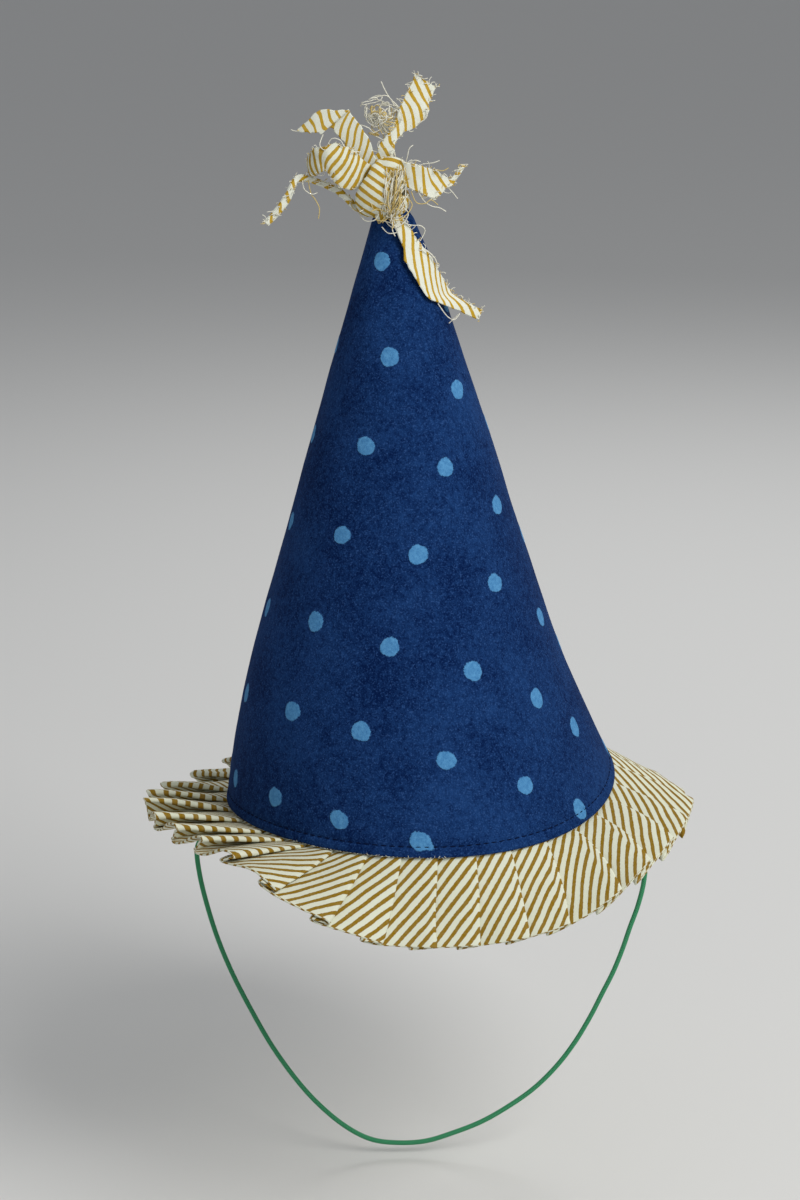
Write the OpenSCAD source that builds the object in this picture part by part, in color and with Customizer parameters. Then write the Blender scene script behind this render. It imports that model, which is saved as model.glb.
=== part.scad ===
// A small party hat of sewn cotton: a stiffened cloth cone printed with dots, a knife-pleated
// striped ruffle under its hem, torn strips knotted on its tip and a round elastic chin cord.
// The cone's axis is Z, and the origin is the middle of the head opening, level with the hem.

/* [Cone] */
// Outside diameter of the cone at its hem
hem_d = 130; // [110:1:160]
// Height of the cloth cone, from the hem to the top of its drawn-in tip
cone_h = 185; // [165:1:230]
// Outside diameter of the straight cone carried up to that height
tip_d = 12.5; // [10.5:0.5:18]
// Height over which the tip is drawn in
gather_h = 4; // [2:0.5:8]
// Outside diameter of the drawn-in neck
neck_d = 9; // [6:0.5:10]
// Thickness of the brushed cotton
cloth_t = 0.8; // [0.5:0.1:1.2]
// Width of the groove along the back seam
seam_w = 0.8; // [0.4:0.1:1.5]
// Depth of the groove along the back seam
seam_depth = 0.3; // [0.1:0.05:0.4]

/* [Interlining] */
// Thickness of the stiff interlining
lining_t = 0.7; // [0.4:0.1:1.2]
// Gap between the ruffle's header and the interlining above it
lining_gap = 1.5; // [0.5:0.5:8]
// Distance from the drawn-in tip down to the interlining's top
lining_stop = 3; // [1:0.5:12]

/* [Dots] */
// Diameter of a printed dot
dot_d = 6; // [3:0.5:10]
// Thickness of the print
print_t = 0.2; // [0.1:0.05:0.4]
// Spacing of the dots along a row
dot_across = 25.2; // [18:0.2:36]
// Spacing of the rows
dot_down = 27.6; // [18:0.2:36]
// Turn of the rows against the middle of the front
dot_turn = 18.5; // [0:0.5:45]
// Distance from the cone's point to the dot that the rows are counted from
dot_start = 65.5; // [50:0.1:80]
// Distance by which the rows of dots lie to the left of the front
dot_side = 1.8; // [0:0.1:6]
// Sideways drift of the rows above that dot
dot_drift = 2.6; // [0:0.1:4]
// Least cloth between a dot and the hem, the tip or the back seam
dot_margin = 0.8; // [0.5:0.1:4]

/* [Ruffle] */
// Number of knife pleats
pleats = 32; // [24:1:38]
// Width of the ruffle, from the hem seam to its outer edge
ruffle_w = 26; // [18:1:34]
// Height of the pleated header sewn inside the hem
header_h = 7; // [5:0.5:12]
// Thickness of the ruffle cloth
ruffle_t = 0.4; // [0.3:0.05:0.5]
// Depth of each hidden fold at the hem seam
fold_root = 6.4; // [5:0.2:7.6]
// Depth of each hidden fold at the outer edge
fold_rim = 6; // [3:0.1:7.4]
// Height of a pleat where it is sewn flat
loft_root = 1.3; // [1.1:0.05:1.8]
// Height of the open pleats at the outer edge on the left
loft_left = 7.8; // [2:0.1:9]
// Height of the pleats at the outer edge in front
loft_front = 2.2; // [1.6:0.1:5]
// Height of the pleats at the outer edge on the right
loft_right = 6; // [1.6:0.1:8]
// Height of the pleats at the outer edge behind
loft_back = 3.4; // [1.6:0.1:6]
// Slope added to the whole ruffle, below level
droop_more = 0; // [-6:1:6]
// Slope gained between the seam and the outer edge
droop_gain = 10; // [0:1:20]
// Angle by which the folds lie back at the outer edge on the left
lean_left = 5; // [0:0.5:10]
// Angle by which the folds lie back at the outer edge in front
lean_front = 2.5; // [0:0.5:10]
// Angle by which the folds lie back at the outer edge on the right
lean_right = 9.5; // [0:0.5:10]
// Angle by which the folds lie back at the outer edge behind
lean_back = 9; // [0:0.5:10]
// Angle of the first fold round the hem, from the right
fold_start = -2; // [-6:0.5:6]
// Angle by which the folds are crowded toward the front
fold_crowd = 8; // [0:0.5:9]

/* [Topper] */
// Thickness of the torn strips
strip_t = 0.5; // [0.3:0.1:0.8]
// Thickness of the strip that is twisted into a string
twist_t = 1.4; // [0.8:0.1:2]
// Width of the knot
knot_w = 12; // [9:0.5:16]
// Height of the knot
knot_h = 13; // [10:0.5:16]
// Depth of the knot from front to back
knot_depth = 8; // [6:0.5:10]
// Rounding of the knot's folds
knot_round = 1.6; // [1:0.1:2.4]

/* [Chin cord] */
// Diameter of the elastic cord
cord_d = 1.6; // [1:0.1:2.4]
// Width of the stitched tack that holds each end
tack_w = 5; // [4:0.5:8]
// Height of a tack
tack_h = 4; // [3:0.5:6]
// Least thickness of a tack
tack_t = 2.6; // [2.5:0.1:4]
// Height of a tack's lower face above the hem
tack_rise = 1; // [0:0.5:2]

/* [Hidden] */
// Clearance between pieces that are sewn together
sewn_gap = 0.05;
// Tilt of the cone's wall, from upright
wall_tilt = atan((hem_d - tip_d) / 2 / cone_h);
wall_cos = cos(wall_tilt);
wall_sin = sin(wall_tilt);
cloth_w = cloth_t / wall_cos;
gather_z = cone_h - gather_h;
// Slant distances from the point that the straight cone would run to
point_z = hem_d / 2 / tan(wall_tilt);
hem_slant = point_z / wall_cos;
// The hem's lower edge is the centre of the bend where the ruffle turns outward
hem_mid = hem_d / 2 - cloth_w / 2;
bend_r = cloth_t / 2 + sewn_gap + loft_root + ruffle_t / 2;
header_slope = 90 - wall_tilt;
// Steps of the ruffle: two up the header, three round the bend and five out to the edge
header_steps = 1;
bend_steps = 2;
out_steps = 5;
last_step = header_steps + bend_steps + out_steps;
around = $preview ? 120 : 180;

// Slope of the ruffle below level at each twelfth of the hem, from the right by way of the back
droops = [16, 38, 42, 34, 20, 8, 6, -1, 4, 59, 47, 12];

// Route of the chin cord below the hat, from the left tack to the right one
cord_route = [
    [-60.6, 0, 1], [-61, 0, -2], [-64, 0, -7], [-68, 0, -13], [-70.5, 0, -21], [-70, 0, -31],
    [-67.7, 0, -43], [-64.5, 0, -55], [-60, 0, -67.5], [-54, 0, -81], [-48, 0, -93],
    [-40.5, 0, -105], [-33, 0, -114.5], [-24.5, 0, -122.5], [-16, 0, -127.5], [-7, 0, -129],
    [2.5, 0, -128.5], [12, 0, -125.5], [21.5, 0, -121.5], [30.5, 0, -116], [39, 0, -109.5],
    [46.5, 0, -101.5], [52.5, 0, -93], [57.5, 0, -84], [61.5, 0, -75.5], [65, 0, -68],
    [68, 0, -60], [70.5, 0, -52], [73, 0, -44.5], [74.8, 0, -36.5], [75.3, 0, -28],
    [73.5, 0, -19.5], [69, 0, -12], [64, 0, -7], [61, 0, -2], [60.6, 0, 1]
];

// Middle of the knot, just above the neck and a little to the left and front of it
knot_at = [-4.6, -4, cone_h + knot_h / 2 - 0.6];

// The strips keep their proportion to the knot
strip_scale = knot_w / 12;

// Stations of the torn strips from the knot outward, each with the strip's two edges,
// [x, y, z, x, y, z], measured from the middle of the cone's drawn-in tip
upright_stations = [
    [-6.8, -3.6, 9.5, -2, -3.6, 9.5], [-6.6, -3, 14, -1.2, -3, 13.9], [-5.3, -3, 17.1, -0.6, -3, 16.7],
    [-4.2, -2.6, 19.6, 0.2, -2, 19.9], [-1.3, -2, 22.8, 1.8, -1, 21.6], [0.6, -1, 26.5, 6, 0.5, 23.7],
    [2.5, 0, 30.7, 9.9, 1.5, 26.9], [4.3, 1, 34.7, 11, 2.5, 30.8], [6.8, 2.2, 39, 12.7, 3.6, 35]
];
folded_stations = [
    [-8.5, -4, 8.5, -3.5, -4, 9.5], [-11.5, -4, 12.1, -5.8, -4, 13.6],
    [-13.5, -4.2, 16.3, -6.8, -4.2, 17.2], [-15.5, -4.4, 19.9, -8.3, -4.2, 20.8],
    [-17.8, -4.6, 22.5, -10.8, -4.4, 24.7], [-19.8, -4.8, 25, -14.1, -4.6, 29.1],
    [-20.2, -6.2, 25.2, -14.3, -5.8, 29.6], [-22.1, -6.6, 23.6, -18.8, -6.4, 29.7],
    [-24.9, -6.6, 23.6, -23.6, -6.6, 29.6], [-27.6, -6.2, 23.9, -26.8, -6.2, 27.1],
    [-30.1, -5.6, 24.3, -30, -5.6, 24.7]
];
looped_stations = [
    [-6, -5.2, 12, -6, -5.6, 6], [-9.4, -6, 14.4, -9.5, -6.4, 7.8],
    [-12.9, -8, 18, -12.9, -8.6, 6.5], [-15.9, -9.4, 19.6, -16.9, -10, 7.6],
    [-19.5, -10, 20, -19.8, -10.6, 10.8], [-22.6, -9.4, 19.4, -21.7, -10.4, 12.6],
    [-25.2, -8, 18.5, -24.3, -9, 11.5], [-26.9, -5.6, 16.7, -26.2, -6.6, 10.6],
    [-27.3, -3.2, 15.4, -27, -4, 11.1], [-25.9, -1.6, 15.6, -25.8, -2, 12.1]
];
twisted_stations = [
    [-7.6, -4.4, 3.4, -8, -4.6, 1], [-11.5, -4.6, 1.9, -12.3, -4.8, -0.6],
    [-13.8, -5, 3.4, -14.9, -5, 1.6], [-16.8, -5, 6.3, -17.9, -5, 4.5],
    [-20.4, -5, 7.9, -21.2, -5, 6.4], [-24.2, -5.2, 9.6, -24.8, -5.2, 8],
    [-27.8, -5.6, 11, -28.1, -5.6, 9.1], [-30.4, -6.2, 11.2, -30.2, -6.2, 9.1],
    [-32.2, -7, 9.8, -30.8, -7, 8.3], [-34, -8, 6.4, -32.2, -8, 5.1],
    [-36.5, -9, 3.2, -34.5, -9, 1.6], [-39.1, -10, 0.3, -37.4, -10, -1.2],
    [-40.8, -10.8, -1.6, -39.7, -10.8, -2.9]
];
right_stations = [
    [-3.5, -5.4, 12, -3.5, -5.4, 7], [0.4, -6, 14.2, -0.2, -6, 7.1],
    [3, -7, 14, 3.4, -7, 6.9], [6.6, -6.8, 13.1, 7, -7.6, 5.4],
    [9.6, -6.4, 12.1, 10.8, -7.6, 3.2], [12.7, -5.6, 10.9, 13.7, -6.4, 4.4],
    [15.1, -4.8, 9.3, 15.8, -5.2, 5.9], [17.1, -4.2, 8.1, 17.6, -4.4, 6.7],
    [19.1, -3, 10.2, 19.7, -3.2, 9.1], [21.1, -2, 12, 21.7, -2, 11.6]
];
hanging_stations = [
    [-3.4, -6.4, 4, -0.4, -6.4, 4.4], [-2.2, -7.5, -0.4, 0.4, -7.6, 0],
    [-1.3, -8.4, -2.9, 1.6, -8.1, -2], [0.3, -9.6, -6.1, 3.5, -8.3, -4.3],
    [1.7, -10.7, -10.1, 5.7, -8.5, -8.2], [2.6, -11.9, -14.4, 8.5, -7.5, -11.8],
    [4.8, -12.6, -18.5, 11.4, -5.9, -16.2], [7.3, -13, -22.9, 14, -3.6, -21.3],
    [10.1, -12.4, -26.4, 16.8, -1.5, -26.5], [14.3, -9.2, -28.8, 20.2, -2.6, -28.7],
    [19.6, -6, -31.4, 23.6, -3, -30.4], [25.5, -4, -34.8, 26.8, -3, -32.3]
];

// Helpers

function unit(v) = v / norm(v);
function mix(a, b, t) = a + (b - a) * t;
function outward(a) = [cos(a), sin(a), 0];

// A value that passes smoothly through four given ones, at the left, front, right and back
function by_side(a, left, front, right, back) =
    (cos(a) < 0 ? left : right) * pow(cos(a), 2) + (sin(a) < 0 ? front : back) * pow(sin(a), 2);

// Radius of the straight cone at height z, with its face moved out by grow
function cone_r(z, grow = 0) = hem_d / 2 - z * tan(wall_tilt) + grow / wall_cos;

// A smooth curve through a list of stations, with steps points for each span
function station(list, i) = list[min(max(i, 0), len(list) - 1)];
function curve_point(a, b, c, d, t) =
    (2 * b + (c - a) * t + (2 * a - 5 * b + 4 * c - d) * t * t + (3 * b - 3 * c + d - a) * t * t * t) / 2;
function smooth(list, steps) = [
    for (i = [0 : len(list) - 2])
        for (k = [0 : steps - 1])
            curve_point(station(list, i - 1), list[i], list[i + 1], station(list, i + 2), k / steps),
    list[len(list) - 1]
];
function heading(path, i) = unit(station(path, i + 1) - station(path, i - 1));

// Faces of a tube whose rings have m points each, closed at both ends
function tube_faces(rings, m) = concat(
    [for (j = [1 : m - 2]) [0, j, j + 1]],
    [for (i = [0 : rings - 2]) for (j = [0 : m - 1])
        let (a = i * m + j, b = i * m + (j + 1) % m) each [[a, a + m, b + m], [a, b + m, b]]],
    [for (j = [1 : m - 2]) [(rings - 1) * m, (rings - 1) * m + j + 1, (rings - 1) * m + j]]
);

// Cone

// The solid cone that the cloth's outer face bounds, with that face moved out by grow
module cone_solid(grow = 0) {
    rotate_extrude($fn = around)
        polygon([
            [0, 0], [cone_r(0, grow), 0], [cone_r(gather_z, grow), gather_z],
            [neck_d / 2 + grow, cone_h], [0, cone_h]
        ]);
}

module cone_cloth() {
    color("midnightblue")
        difference() {
            rotate_extrude($fn = around)
                polygon([
                    [cone_r(0) - cloth_w, 0], [cone_r(0), 0], [cone_r(gather_z), gather_z],
                    [neck_d / 2, cone_h], [0, cone_h], [0, cone_h - cloth_t],
                    [neck_d / 2 - cloth_w, cone_h - cloth_t], [cone_r(gather_z) - cloth_w, gather_z]
                ]);
            back_seam();
        }
}

// The groove where the two edges of the cone's cloth meet, up the middle of the back
module back_seam() {
    difference() {
        translate([-seam_w / 2, 0, -1])
            cube([seam_w, hem_d, gather_z + 1]);
        cone_solid(-seam_depth);
        translate([0, 0, -2])
            cylinder(h = 2, d = hem_d - 2 * seam_depth, $fn = around);
    }
}

// The stiff inner cone, trimmed clear of the ruffle's header and of the tip
module interlining() {
    low = header_h + lining_gap;
    high = gather_z - lining_stop;
    outer = cloth_w + sewn_gap;
    inner = outer + lining_t / wall_cos;
    color("gainsboro")
        rotate_extrude($fn = around)
            polygon([
                [cone_r(low) - inner, low], [cone_r(low) - outer, low],
                [cone_r(high) - outer, high], [max(cone_r(high) - inner, 0.5), high]
            ]);
}

// Dots

// A dot's place on the unrolled cloth: across and down from the cone's point
function dot_flat(i, j) =
    [i * dot_across * cos(dot_turn) - j * dot_down * sin(dot_turn)
        - dot_drift * pow(max(0, 1 - j), 2) - dot_side,
     dot_start + i * dot_across * sin(dot_turn) + j * dot_down * cos(dot_turn)];
function flat_angle(p) = atan2(p[0], p[1]);
function dot_fits(p) =
    norm(p) > hem_slant - (gather_z / wall_cos) + dot_d / 2 + dot_margin
    && norm(p) < hem_slant - dot_d / 2 - dot_margin
    && abs(flat_angle(p)) < 180 * wall_sin - (dot_d / 2 + dot_margin) / norm(p) * 180 / PI;
dot_places = [
    for (i = [-8 : 8]) for (j = [-4 : 8])
        let (p = dot_flat(i, j)) if (p[1] > 0 && dot_fits(p)) p
];

// Patches of print that follow the cone's face
module printed_dots() {
    color("steelblue")
        intersection() {
            difference() {
                cone_solid(print_t);
                cone_solid(0);
            }
            for (p = dot_places)
                rotate([0, 0, flat_angle(p) / wall_sin - 90])
                    translate([norm(p) * wall_sin, 0, (hem_slant - norm(p)) * wall_cos])
                        rotate([0, 90 - wall_tilt, 0])
                            cylinder(h = 4, d = dot_d, center = true, $fn = 32);
        }
}

// Ruffle

// Slope below level of the ruffle's line at step k, at angle a round the hem
function droop_near(k) = droops[(k + 24) % 12];
function side_droop(a) =
    let (k = floor(a / 30))
    curve_point(droop_near(k - 1), droop_near(k), droop_near(k + 1), droop_near(k + 2), a / 30 - k)
    + droop_more - droop_gain / 2;
function line_slope(k, a) =
    k <= header_steps ? header_slope
    : k <= header_steps + bend_steps ? mix(header_slope, side_droop(a), (k - header_steps) / bend_steps)
    : side_droop(a) + droop_gain * (k - header_steps - bend_steps) / out_steps;
function line_dir(s) = [cos(s), -sin(s)];
function line_up(s) = [sin(s), cos(s)];

// The ruffle's line in a half-plane through the axis, as [radius, height] at step k
function ruffle_line(k, a) =
    k < header_steps
        ? [hem_mid, 0] - bend_r * line_up(header_slope) - header_h * line_dir(header_slope)
    : k <= header_steps + bend_steps ? [hem_mid, 0] - bend_r * line_up(line_slope(k, a))
    : ruffle_line(k - 1, a)
        + ruffle_w / out_steps * line_dir((line_slope(k - 1, a) + line_slope(k, a)) / 2);

// How far out along the ruffle step k is, from 0 at the hem seam to 1 at the edge
function out_share(k) = max(0, k - header_steps - bend_steps) / out_steps;
function pleat_loft(k, a) =
    mix(loft_root, by_side(a, loft_left, loft_front, loft_right, loft_back), out_share(k));
function fold_depth(k) = mix(fold_root, fold_rim, out_share(k));
function fold_lean(k, a) = out_share(k) * by_side(a, lean_left, lean_front, lean_right, lean_back);
function fold_angle(i) =
    let (even = fold_start + i * 360 / pleats)
    even + fold_crowd * sin(even - 70);

// A point of the pleated cloth: s along the ruffle from the fold at angle a, h above its line
function ruffle_point(k, a, s, h) =
    let (line = ruffle_line(k, a), up = line_up(line_slope(k, a)),
         turn = a + s / line[0] * 180 / PI - fold_lean(k, a),
         spot = line + h * up)
    [spot[0] * cos(turn), spot[0] * sin(turn), spot[1]];

// Six points of pleat i at step k, three on the cloth's upper face and three on its lower one:
// the outer fold's lip, then the crease under it and the inner fold's lip
function pleat_points(k, i) =
    let (a = fold_angle(i),
         pitch = (fold_angle(i + 1) - a) * PI / 180 * ruffle_line(k, a)[0],
         depth = fold_depth(k),
         loft = pleat_loft(k, a),
         panel = atan(loft / (pitch + depth)),
         under = atan(loft / depth),
         reach = ruffle_t / 2 / sin((under - panel) / 2),
         lie = (under + panel) / 2)
    [ruffle_point(k, a, 0, loft + ruffle_t / 2),
     ruffle_point(k, a, 0, loft - ruffle_t / 2),
     ruffle_point(k, a, reach * cos(lie) - depth, reach * sin(lie)),
     ruffle_point(k, a, -reach * cos(lie), loft - reach * sin(lie)),
     ruffle_point(k, a, -depth, ruffle_t / 2),
     ruffle_point(k, a, -depth, -ruffle_t / 2)];

ring = pleats * 6;
function pleat_index(k, i, j) = k * ring + ((i + pleats) % pleats) * 6 + j;

// The skin between two steps: the upper face goes lip, lip, crease and the lower face crease, lip, lip
function skin_faces(k, i) =
    let (here = [for (j = [0 : 5]) pleat_index(k, i, j)], there = [for (j = [0 : 5]) pleat_index(k + 1, i, j)],
         next_here = [for (j = [0 : 5]) pleat_index(k, i + 1, j)],
         next_there = [for (j = [0 : 5]) pleat_index(k + 1, i + 1, j)],
         top_here = [here[0], here[1], here[2], next_here[0]],
         top_there = [there[0], there[1], there[2], next_there[0]],
         low_here = [here[3], here[4], here[5], next_here[3]],
         low_there = [there[3], there[4], there[5], next_there[3]])
    concat(
        [for (j = [0 : 2]) each [[top_here[j], top_there[j], top_there[j + 1]],
                                 [top_here[j], top_there[j + 1], top_here[j + 1]]]],
        [for (j = [0 : 2]) each [[low_here[j], low_there[j + 1], low_there[j]],
                                 [low_here[j], low_here[j + 1], low_there[j + 1]]]]
    );

// The cut edge of pleat i at step k, seen from the header side when flip is false
function edge_faces(k, i, flip) =
    let (p = [for (j = [0 : 5]) pleat_index(k, i, j)], q = [for (j = [0 : 5]) pleat_index(k, i + 1, j)],
         faces = [[p[0], p[1], p[3]], [p[1], p[2], p[4]], [p[1], p[4], p[3]],
                  [p[2], p[5], p[4]], [p[2], q[0], q[3]], [p[2], q[3], p[5]]])
    [for (f = faces) flip ? [f[2], f[1], f[0]] : f];

module pleated_ruffle() {
    points = [for (k = [0 : last_step]) for (i = [0 : pleats - 1]) each pleat_points(k, i)];
    faces = concat(
        [for (k = [0 : last_step - 1]) for (i = [0 : pleats - 1]) each skin_faces(k, i)],
        [for (i = [0 : pleats - 1]) each edge_faces(0, i, false)],
        [for (i = [0 : pleats - 1]) each edge_faces(last_step, i, true)]
    );
    color("wheat")
        polyhedron(points, faces, convexity = 8);
}

// Topper

// A flat strip of cloth whose two edges run through a list of stations
module cloth_strip(stations, thickness) {
    path = smooth(stations, 2) * strip_scale;
    lift = [0, 0, cone_h];
    left = [for (p = path) [p[0], p[1], p[2]] + lift];
    right = [for (p = path) [p[3], p[4], p[5]] + lift];
    middle = (left + right) / 2;
    corners = [
        for (i = [0 : len(path) - 1])
            let (face = unit(cross(right[i] - left[i], heading(middle, i))) * thickness / 2)
            each [right[i] + face, left[i] + face, left[i] - face, right[i] - face]
    ];
    polyhedron(corners, tube_faces(len(path), 4), convexity = 6);
}

// What the knot and the cone leave of a strip, so that it ends on the knot and lies on the cone
module strip_from_knot() {
    difference() {
        children();
        knot_shape();
        cone_solid(0);
    }
}

// One rounded fold of the knot, w wide, h high and deep from front to back
module knot_fold(w, h, deep) {
    hull()
        for (x = [-1, 1]) for (y = [-1, 1]) for (z = [-1, 1])
            translate([x * (w / 2 - knot_round), y * (deep / 2 - knot_round), z * (h / 2 - knot_round)])
                sphere(r = knot_round, $fn = 10);
}

// Two crossed folds and the pad that sits on the cone's neck
module knot_shape() {
    translate(knot_at) {
        rotate([0, -28, 0])
            knot_fold(knot_w, knot_h * 0.7, knot_depth);
        rotate([0, 52, 0])
            knot_fold(knot_w * 0.6, knot_h, knot_depth * 0.8);
        translate([2.6, 1.4, -knot_h * 0.3])
            knot_fold(knot_w * 0.7, knot_h * 0.5, knot_depth * 0.7);
    }
}

module top_knot() {
    color("wheat")
        difference() {
            knot_shape();
            cone_solid(0);
        }
}

module strip_upright() {
    color("wheat")
        strip_from_knot() cloth_strip(upright_stations, strip_t);
}

// A strip that rises from the knot and turns down to the left over a sharp fold
module strip_folded() {
    color("wheat")
        strip_from_knot() cloth_strip(folded_stations, strip_t);
}

module strip_looped() {
    color("wheat")
        strip_from_knot() cloth_strip(looped_stations, strip_t);
}

module strip_twisted() {
    color("wheat")
        strip_from_knot() cloth_strip(twisted_stations, twist_t);
}

module strip_right() {
    color("wheat")
        strip_from_knot() cloth_strip(right_stations, strip_t);
}

module strip_hanging() {
    color("wheat")
        strip_from_knot() cloth_strip(hanging_stations, strip_t);
}

// Chin cord

// A stitched tack against the inside of the header, with a level face that the cord comes out of
module cord_tack() {
    foot = [hem_mid, 0] - (bend_r + ruffle_t / 2 + sewn_gap) * line_up(header_slope);
    low = foot - tack_rise / wall_cos * line_dir(header_slope);
    high = foot - (tack_rise + tack_h) / wall_cos * line_dir(header_slope);
    inside = high[0] - tack_t;
    rotate([90, 0, 0])
        linear_extrude(height = tack_w, center = true)
            polygon([low, high, [inside, high[1]], [inside, low[1]]]);
}

module cord_tacks() {
    color("navy") {
        cord_tack();
        rotate([0, 0, 180])
            cord_tack();
    }
}

module chin_cord() {
    sides = 8;
    path = smooth(cord_route, 2);
    points = [
        for (i = [0 : len(path) - 1])
            let (go = i == 0 || i == len(path) - 1 ? [0, 0, i == 0 ? -1 : 1] : heading(path, i),
                 across = unit(cross(go, [0, 1, 0])))
            for (j = [0 : sides - 1])
                path[i] + cord_d / 2 * (cos(j * 360 / sides) * across + sin(j * 360 / sides) * [0, 1, 0])
    ];
    color("seagreen")
        polyhedron(points, tube_faces(len(path), sides), convexity = 6);
}

cone_cloth();
interlining();
printed_dots();
pleated_ruffle();
top_knot();
strip_upright();
strip_folded();
strip_looped();
strip_twisted();
strip_right();
strip_hanging();
cord_tacks();
chin_cord();
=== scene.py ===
"""The looks of a small party hat of sewn cotton.

A navy cone printed with dots stands over a knife-pleated ruffle of striped cotton, with torn
strips knotted on its tip and a green elastic chin cord. Every piece is first drawn on the
straight cone of the part's own frame, in millimetres, and then moved by one soft lean, so that
the pieces stay seated on each other. The frame's origin is the middle of the head opening.
"""

import logging
import math
from dataclasses import dataclass, field
from enum import Enum

import bmesh
import bpy
import numpy as np
from mathutils import Matrix, Vector

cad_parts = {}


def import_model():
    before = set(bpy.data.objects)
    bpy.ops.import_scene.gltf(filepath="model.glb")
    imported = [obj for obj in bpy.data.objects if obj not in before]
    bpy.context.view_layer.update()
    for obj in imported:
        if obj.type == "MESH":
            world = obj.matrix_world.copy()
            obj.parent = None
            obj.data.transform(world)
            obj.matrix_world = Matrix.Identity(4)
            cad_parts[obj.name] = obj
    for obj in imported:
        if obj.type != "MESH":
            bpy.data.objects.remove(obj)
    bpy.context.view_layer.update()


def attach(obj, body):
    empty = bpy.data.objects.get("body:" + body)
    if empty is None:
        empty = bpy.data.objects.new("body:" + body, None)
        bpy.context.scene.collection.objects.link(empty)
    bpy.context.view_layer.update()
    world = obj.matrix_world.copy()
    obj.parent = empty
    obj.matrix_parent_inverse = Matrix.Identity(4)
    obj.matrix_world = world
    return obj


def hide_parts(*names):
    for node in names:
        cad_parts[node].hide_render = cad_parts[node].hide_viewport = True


logging.basicConfig(level=logging.INFO, format="%(message)s")
log = logging.getLogger("party_hat")

MM = 0.001
FULL_TURN = 2 * math.pi


def colour(red: float, green: float, blue: float) -> tuple[float, float, float, float]:
    """Turn a display colour of 0 to 255 into the linear values that a shader takes."""
    parts = [c / 255 for c in (red, green, blue)]
    line = [c / 12.92 if c <= 0.04045 else ((c + 0.055) / 1.055) ** 2.4 for c in parts]
    return (line[0], line[1], line[2], 1.0)


def blend(low: np.ndarray, high: np.ndarray, share: np.ndarray) -> np.ndarray:
    """Mix two values by a share from 0 to 1."""
    return low + (high - low) * share


def ease(low: float, high: float, x: np.ndarray) -> np.ndarray:
    """Rise smoothly from 0 at low to 1 at high."""
    t = np.clip((np.asarray(x, float) - low) / (high - low), 0, 1)
    return t * t * (3 - 2 * t)


def ripple(points: np.ndarray, scale: float, seed: int) -> np.ndarray:
    """Sum a few sine waves into a soft, repeatable unevenness.

    Args:
        points: Places in millimetres, with the last axis of length 3.
        scale: Length of the longest wave, in millimetres.
        seed: Chooses the waves' directions.

    Returns:
        One value for each place, from about -1 to 1.
    """
    waves = np.random.default_rng(seed).normal(size=(7, 4))
    total = np.zeros(points.shape[:-1])
    for k, wave in enumerate(waves):
        way = wave[:3] / np.linalg.norm(wave[:3])
        total += np.sin(points @ way * FULL_TURN / (scale / (1 + 0.35 * k)) + wave[3] * 9) / (1 + 0.3 * k)
    return total / 2.6


def through(before: np.ndarray, low: np.ndarray, high: np.ndarray, after: np.ndarray, t: np.ndarray) -> np.ndarray:
    """Pass smoothly from low to high as t goes from 0 to 1, given the values before and after them."""
    bend, turn = 2 * before - 5 * low + 4 * high - after, 3 * low - 3 * high + after - before
    return (2 * low + (high - before) * t + bend * t**2 + turn * t**3) / 2


def smooth_path(stations: np.ndarray, steps: int) -> np.ndarray:
    """Run a smooth curve through every station.

    Args:
        stations: Rows of values, one row for each station.
        steps: Points for each span.

    Returns:
        The rows along the curve, the last station included.
    """
    rows = np.asarray(stations, float)
    ends = np.vstack([rows[:1], rows, rows[-1:]])
    made = []
    for i in range(len(rows) - 1):
        made.extend(through(*ends[i : i + 4], t) for t in np.arange(steps) / steps)
    return np.array([*made, rows[-1]])


def unit(vectors: np.ndarray) -> np.ndarray:
    """Scale each vector to length 1."""
    return vectors / np.maximum(np.linalg.norm(vectors, axis=-1, keepdims=True), 1e-9)


class SoftLean:
    """The soft set of the worn-in hat: a slight bend near the hem, a tilt of the hem and an oval plan."""

    bend_height = 56.8
    bend = 5.0
    hem_rise_right = 3.75
    hem_twist = 2.8
    oval = 2.5
    hem_radius = 65.0
    straight_behind = 0.7

    def place(self, points: np.ndarray) -> np.ndarray:
        """Move points from the straight cone's frame to where the cloth lies.

        Args:
            points: Places in millimetres, with the last axis of length 3.

        Returns:
            The moved places, in an array of the same shape.
        """
        x, y, z = points[..., 0], points[..., 1], points[..., 2]
        turn = np.arctan2(y, x)
        above = np.maximum(z, 0)
        near_hem = np.clip(np.hypot(x, y) / self.hem_radius, 0, 1) ** 2
        narrow = 1 - self.oval * np.cos(2 * turn) / self.hem_radius
        shift = self.bend * (np.clip(1 - above / self.bend_height, 0, 1) ** 2 - 0.5)
        twist = self.hem_twist * (1 - ease(0, self.straight_behind, np.sin(turn)))
        rise = (self.hem_rise_right * np.cos(turn) + twist * np.sin(2 * turn)) * near_hem
        return np.stack([x * narrow + shift, y * narrow, z + rise], axis=-1)


LEAN = SoftLean()


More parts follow.
